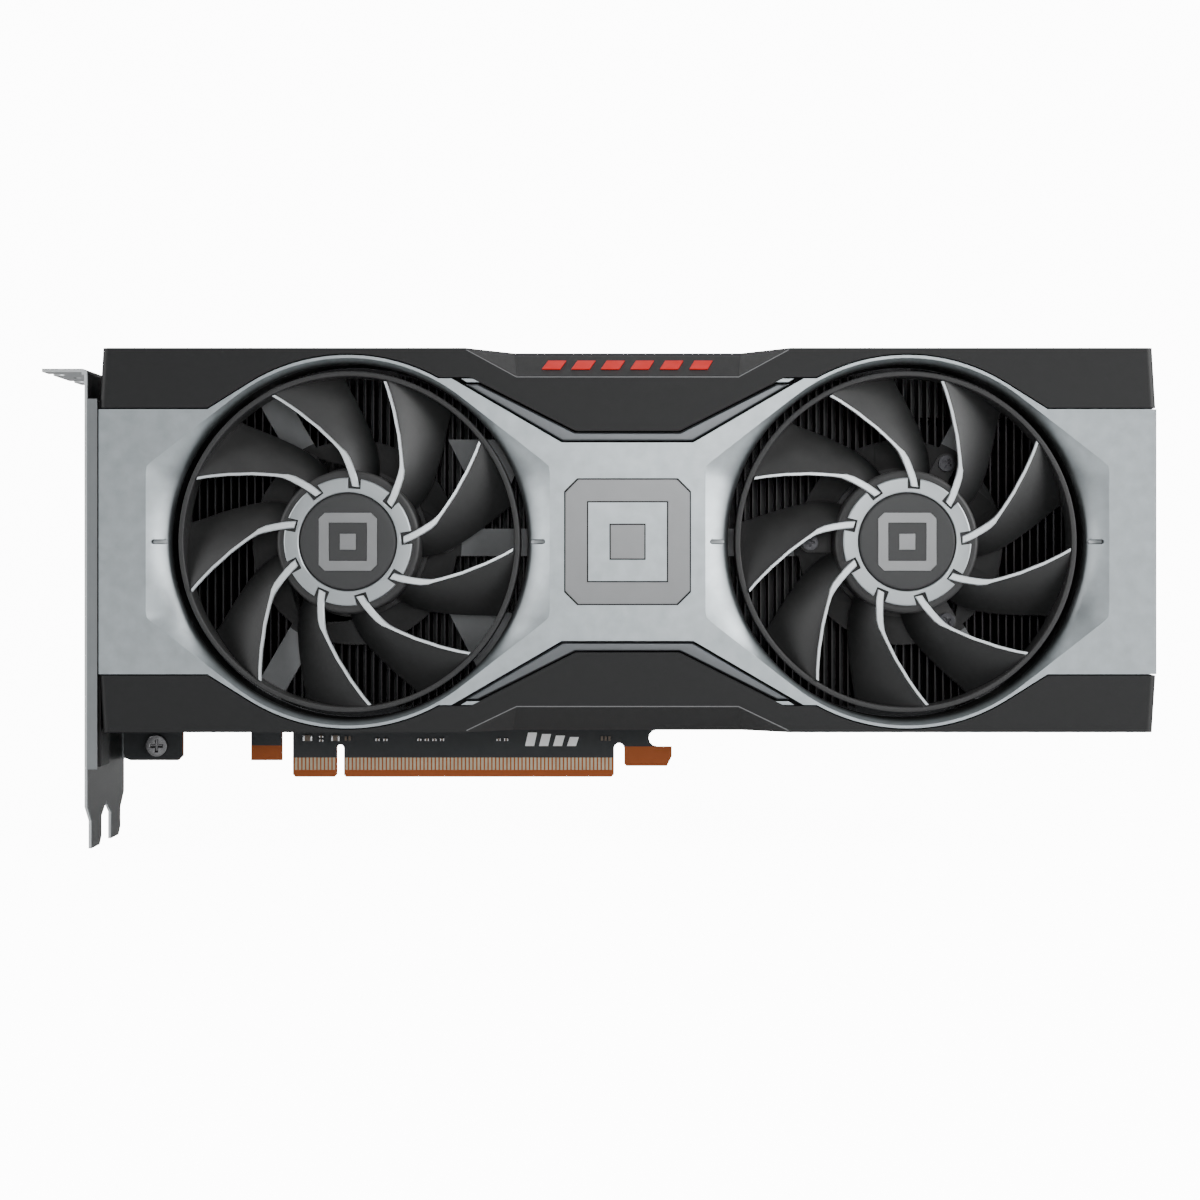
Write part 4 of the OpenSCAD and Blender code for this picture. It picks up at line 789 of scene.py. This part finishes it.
# slanted bars on the upper slope
badge = {"count": 6, "pitch": 7.4, "start": 4.2, "height": 5.6, "raise": 0.25}
slopeAngle = atan2(skirts["topSlope"], skirts["top"] - skirts["bevelW"])
bars = []
for index in range(badge["count"]):
    middle = (index - (badge["count"] - 1) / 2) * badge["pitch"]
    corners = [(-3, 0), (1.6, 0), (3, badge["height"]), (-1.6, badge["height"])]
    bar = startLoop("bar", [Vector(((middle + u) * mm, 0, v * mm)) for u, v in corners])
    ops.object.mode_set(mode="EDIT")
    ops.mesh.select_all(action="SELECT")
    ops.mesh.extrude_region_move(TRANSFORM_OT_translate={"value": (0, -badge["raise"] * mm, 0)})
    ops.object.mode_set(mode="OBJECT")
    bar.data.transform(Matrix.Translation(place(0, 0, skirts["bevelW"])) @ Matrix.Rotation(-slopeAngle, 4,
                                                                                           "X")
                       @ Matrix.Translation((0, 0, badge["start"] * mm)))
    mendNormals(bar)
    bars.append(bar)
badgeBars = roundEdges(joinPieces("badgeBars", bars), 0.08)
hand(badgeBars, "card", "red_mark", "badge_bars")
print("shroud trims done")

# fans: the left one is made, then copied to the right
fan = {"hubFront": 1.2, "hubR": 18, "blades": 9, "chord": 24, "drop": 8.3, "root": 17.2, "tip": 42.1,
       "thick": 1.15}
leadTable = [(13.9, 85.5), (18, 90.2), (22.9, 95.5), (27, 102), (32, 108.5), (37, 113.6), (41.8, 118)]
left = fanCentres["left"]
toRight = Matrix.Translation((2 * fanReach, 0, 0))
fanBodies = {"left": "fan_left", "right": "fan_right"}


def leadAngle(r):
    if r <= leadTable[0][0]:
        return leadTable[0][1]
    for (r0, a0), (r1, a1) in zip(leadTable, leadTable[1:]):
        if r <= r1:
            return a0 + (a1 - a0) * (r - r0) / (r1 - r0)
    return leadTable[-1][1]


def softLead(r):  # the blade's own edge, without the strip's kink
    return sum(leadAngle(r + step) for step in (-3, -1.5, 0, 1.5, 3)) / 5


def leadDepth(r):
    return fan["hubFront"] + 0.12 + max(0, r - fan["hubR"]) * 0.058


def onFan(r, angle, depth):
    return Vector((left[0] + r * mm * cos(radians(angle)), frontY + depth * mm,
                   left[1] + r * mm * sin(radians(angle))))


def turnOnFan(angle):
    return (Matrix.Translation((left[0], 0, left[1])) @ Matrix.Rotation(-radians(angle), 4, "Y")
            @ Matrix.Translation((-left[0], 0, -left[1])))


def aroundFan(name, piece, count):
    made = [piece] + [copyPiece(piece, name + str(k), turnOnFan(k * 360 / count)) for k in range(1, count)]
    return joinPieces(name, made)


def handFan(piece, name, slotName, *nodeStems):
    twin = copyPiece(piece, name + "Right", toRight)
    piece.name = piece.data.name = name + "Left"
    for side, one in (("left", piece), ("right", twin)):
        hand(one, fanBodies[side], slotName, *[stem + "_" + side for stem in nodeStems])


hubProfile = [(0.001, 1.2), (16.9, 1.2), (17.5, 1.35), (17.9, 1.8), (18, 2.6), (18, 12.1), (17.7, 12.4),
              (15.6, 12.4), (15.5, 3.2), (3, 3.2), (3, 5.2), (1.52, 5.2), (1.52, 3.2), (0.001, 3.2)]
hub = turnedPiece("hub", hubProfile, left, 128)
ringProfile = [(41.4, 2.9), (41.5, 2.55), (41.7, 2.4), (42.5, 2.4), (42.7, 2.55), (42.8, 2.9),
               (42.8, 10.6), (42.5, 11), (41.8, 11), (41.5, 10.6)]
ring = turnedPiece("ring", ringProfile, left, 160)
rotor = roundEdges(joinPieces("rotor", [hub, ring]), 0, smooth=40)
handFan(rotor, "rotor", "fan_plastic", "rotor")

# one blade from a flat grid, given its sweep, its fall and its thickness
deselect()
ops.mesh.primitive_grid_add(x_subdivisions=14, y_subdivisions=18, size=2)
blade = bpy.context.object
for vertex in blade.data.vertices:
    across, out = (vertex.co.x + 1) / 2, (vertex.co.y + 1) / 2
    r = fan["root"] + (fan["tip"] - fan["root"]) * out
    fall = fan["drop"] * (across ** 1.15) * (1.06 - 0.06 * across) - 0.5 * sin(pi * across) * sin(pi * out)
    chord = fan["chord"] * (1 - 0.12 * (1 - out) * across)
    vertex.co = onFan(r, softLead(r) - across * chord, leadDepth(r) + fall)
activate(blade)
thick = blade.modifiers.new("thick", "SOLIDIFY")
thick.thickness = fan["thick"] * mm
thick.offset = 0
ops.object.modifier_apply(modifier="thick")
mendNormals(blade)
below = min(v.co.y for v in blade.data.vertices) - (frontY + (fan["hubFront"] + 0.1) * mm)
blade.data.transform(Matrix.Translation((0, -below + 0.1 * mm, 0)))
roundEdges(blade, 0.4, 3, 40, 50)
blades = aroundFan("blades", blade, fan["blades"])
handFan(blades, "fanBlades", "fan_plastic", "fan_blades")

# bright strip along each blade's leading edge, with a wide root that narrows at a kink
stripStations = [13.9, 15.5, 17.2, 19, 21, 22.6, 23.4, 25, 27, 29.5, 32, 34.5, 37, 39, 41.1]


def stripWidth(r):
    return 1.9 if r < 22 else 1.9 - (r - 22) / 1.8 * 0.85 if r < 23.8 else 1.05 - 0.2 * (r - 23.8) / 17.5


stripRings = []
for r in stripStations:
    width = stripWidth(r)
    base, top = leadDepth(r) - 0.02 if r > 18 else fan["hubFront"] - 0.01, leadDepth(r) - 0.95
    ringPoints = []
    for across, depth in ((0, base), (0.02, top + 0.22), (0.14, top), (0.86, top), (0.98, top + 0.22),
                          (1, base)):
        ringPoints.append(onFan(r, leadAngle(r) + 0.5 - degrees(across * width / r), depth))
    stripRings.append(ringPoints)
strip = roundEdges(loftPiece("strip", stripRings), 0, smooth=40)
strips = aroundFan("strips", strip, fan["blades"])
handFan(strips, "bladeStrips", "blade_strip", "blade_edges")

# hub ring with a notch for each strip, the cap and its emblem
hubRing = turnedPiece("hubRing", [(12.3, 1.2), (12.3, 0.25), (12.5, 0.05), (15.6, 0.0), (15.9, 0.15),
                                  (16.0, 0.5), (16.0, 1.2)], left, 128)
for k in range(fan["blades"]):
    corners = [(13.25, -2.42), (17, -2.42), (17, 0.88), (13.25, 0.72)]
    turn = radians(leadAngle(15) + k * 40)
    points = [(left[0] - midX) / mm + r * cos(turn) - w * sin(turn) for r, w in corners]
    heights = [r * sin(turn) + w * cos(turn) for r, w in corners]
    combine(hubRing, slabPiece("notch", list(zip(points, heights)), -2, 3))
roundEdges(hubRing, 0.12, 2)
handFan(hubRing, "hubRing", "hub_silver", "hub_ring")

hubCap = turnedPiece("hubCap", [(0.001, 1.2), (0.001, 0.12), (11.3, 0.12), (11.8, 0.25), (12.1, 0.6),
                                (12.1, 1.2)], left, 128)
leftU = (left[0] - midX) / mm
hubOuter, hubInner, hubCore = emblemRings(14.5, 2.5, 4, 0.1)
shifted = [[(u + leftU, w) for u, w in points] for points in (hubOuter, hubInner, hubCore)]
pocket = combine(slabPiece("pocket", shifted[0], -1, 0.4), slabPiece("island", shifted[1], -2, 1))
combine(hubCap, pocket)
combine(hubCap, slabPiece("corePocket", shifted[2], -1, 0.4))
roundEdges(hubCap, 0, smooth=30)
handFan(hubCap, "hubCap", "hub_cap", "hub_cap")
hubOuter, hubInner, hubCore = emblemRings(14.5, 2.5, 4)
shifted = [[(u + leftU, w) for u, w in points] for points in (hubOuter, hubInner, hubCore)]
hubEmblem = combine(slabPiece("hubEmblem", shifted[0], 0.06, 0.4), slabPiece("hole", shifted[1], -1, 2))
hubEmblem = roundEdges(joinPieces("hubEmblem", [hubEmblem, slabPiece("core", shifted[2], 0.06, 0.4)]), 0.06)
handFan(hubEmblem, "hubEmblem", "emblem_metal", "hub_emblem")
print("fans done")

# the other CAD nodes stay, with soft edges and their finishes
kept = {"inner_frame": 0.35, "motor_base_left": 0.3, "motor_base_right": 0.3, "motor_screws": 0.12,
        "fin_stack": 0, "heat_pipes": 0.5, "cold_plate": 0.3, "cooler_frame": 0.25, "thermal_pads": 0.15,
        "gpu_package": 0.1, "gpu_die": 0.04, "memory_chips": 0.1, "power_stages": 0.08, "chokes": 0.5,
        "capacitors": 0.25, "small_components": 0.08, "power_socket_8": 0.18, "power_socket_6": 0.18,
        "socket_pins": 0.12, "displayport_shells": 0.12, "hdmi_shell": 0.12, "port_tongues": 0.1,
        "bracket_screws": 0.2, "backplate": 0.25, "backplate_screws": 0.1, "standoffs": 0.2,
        "retention_spring": 0.15, "retention_screws": 0.15, "slot_bracket": 0.15, "circuit_board": 0.1,
        "edge_contacts": 0, "board_marks": 0, "rotor_magnet_left": 0, "rotor_magnet_right": 0,
        "rotor_shaft_left": 0, "rotor_shaft_right": 0, "motor_stator_left": 0.2,
        "motor_stator_right": 0.2, "motor_bearing_left": 0, "motor_bearing_right": 0}
slotOf = {part["node"]: part["material_slot"] for part in frame["record"]["subparts"]}


def keepNode(node, width):
    piece = nodes[node]
    material = finishes[slotOf[node]]
    if not piece.material_slots:
        piece.data.materials.append(material)
    for materialSlot in piece.material_slots:
        materialSlot.material = material
    if width:
        weld = piece.modifiers.new("weld", "WELD")
        weld.merge_threshold = 0.002 * mm
        flat = piece.modifiers.new("flat", "DECIMATE")
        flat.decimate_type = "DISSOLVE"
        flat.angle_limit = radians(1.5)
        soften = piece.modifiers.new("soften", "BEVEL")
        soften.width = width * mm
        soften.segments = 2
        soften.limit_method = "ANGLE"
        soften.angle_limit = radians(35)
        soften.harden_normals = False


for node, width in kept.items():
    keepNode(node, width)
print("kept nodes:", len(kept))

# bright ends on the small parts above the contacts
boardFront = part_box("edge_contacts")[0].y
caps = []
for x, z, width, height, cap in ([(-8.65, 10.35, 2.5, 1.5, 0.5), (-1.25, 10.35, 2.2, 1.5, 0.45)]
                                 + [(x, 9.95, 1.1, 0.7, 0.28) for x in (9.9, 12, 21, 23, 25, 27, 42, 44)]
                                 + [(-5, 10.8, 1.1, 0.6, 0.28), (-5, 9.75, 1.1, 0.6, 0.28)]):
    for side in (-1, 1):
        middle = x + side * (width - cap) / 2
        piece = boxPiece("cap", (middle - cap / 2 - midX / mm, middle + cap / 2 - midX / mm),
                         ((boardFront - frontY) / mm - 0.5, (boardFront - frontY) / mm),
                         (z - height / 2 - 0.03 - fanZ / mm, z + height / 2 + 0.03 - fanZ / mm))
        caps.append(piece)
chipEnds = roundEdges(joinPieces("chipEnds", caps), 0.06)
hand(chipEnds, "card", "port_steel")

# camera, floor and lights
camera = bpy.data.objects.new("camera", bpy.data.cameras.new("camera"))
bpy.context.scene.collection.objects.link(camera)
viewFrom = {"x": 0.0763, "distance": 0.535, "z": 0.0557, "lens": 64.44, "shift": (-0.0233, -0.0275)}
camera.location = (viewFrom["x"], frontY - viewFrom["distance"], viewFrom["z"])
camera.rotation_euler = (radians(90), 0, 0)
camera.data.sensor_width = 36
camera.data.lens = viewFrom["lens"]
camera.data.shift_x, camera.data.shift_y = viewFrom["shift"]
camera.data.clip_start = 0.01
camera.data.clip_end = 20
bpy.context.scene.camera = camera

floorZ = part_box("slot_bracket")[0].z - 0.0005
deselect()
ops.mesh.primitive_grid_add(x_subdivisions=8, y_subdivisions=40, size=1)
floor = bpy.context.object
floor.name = "floor"
for vertex in floor.data.vertices:
    x, t = vertex.co.x * 8, vertex.co.y + 0.5
    run, wallStart, bend = 3.4, 1.6, 0.8
    distance = t * (run + 3)
    y = -1.8 + distance
    if y < wallStart - bend:
        vertex.co = (x, y, floorZ)
    else:
        along = (y - (wallStart - bend)) / bend
        turn = min(along, pi / 2)
        rise = max(0, along - pi / 2) * bend
        vertex.co = (x, wallStart - bend + bend * sin(turn), floorZ + bend * (1 - cos(turn)) + rise)
ops.object.shade_smooth()
paleFloor = finish("paleFloor", (0.9, 0.9, 0.9), 0.8, 0.0, 60, bump=0.0, blotch=0.01, edge=0.0, dusty=0.0)
# the table glows to the eye but throws no light on the card
brightness = {"glow": 12.0, "ambient": 0.28}
floorTree = paleFloor.node_tree
glow = floorTree.nodes["Principled BSDF"]
glow.inputs["Emission Color"].default_value = (1, 1, 1, 1)
seen = floorTree.nodes.new("ShaderNodeLightPath").outputs["Is Camera Ray"]
seenGlow = mathNode(floorTree, "MULTIPLY", seen, brightness["glow"])
floorTree.links.new(seenGlow, glow.inputs["Emission Strength"])
paint(floor, paleFloor)


def softLight(name, spot, aim, size, power):
    light = bpy.data.objects.new(name, bpy.data.lights.new(name, "AREA"))
    bpy.context.scene.collection.objects.link(light)
    light.data.shape = "RECTANGLE"
    light.data.size, light.data.size_y = size
    light.data.energy = power
    light.location = spot
    light.rotation_euler = (Vector(aim) - Vector(spot)).to_track_quat("-Z", "Y").to_euler()


aim = (midX, frontY, fanZ)
softLight("key", (1.0, -0.6, 0.4), aim, (0.8, 0.9), 19)
softLight("fill", (-0.95, -0.55, 0.3), aim, (0.8, 0.9), 9)
softLight("top", (0.05, -0.5, 1.1), aim, (1.2, 0.5), 1.6)
softLight("back", (0.05, 0.9, 0.9), aim, (1.6, 0.6), 1.5)
softLight("front", (midX + 0.07, -1.0, 0.2), (midX + 0.02, frontY, fanZ), (0.22, 0.22), 1.5)
world = bpy.data.worlds.new("studio")
bpy.context.scene.world = world
world.use_nodes = True
skyTree = world.node_tree
sky = skyTree.nodes["Background"]
sky.inputs["Color"].default_value = (0.93, 0.95, 0.97, 1)
seen = skyTree.nodes.new("ShaderNodeLightPath").outputs["Is Camera Ray"]
seenSky = mathNode(skyTree, "MULTIPLY", seen, brightness["glow"])
skyTree.links.new(mathNode(skyTree, "ADD", seenSky, brightness["ambient"]), sky.inputs["Strength"])
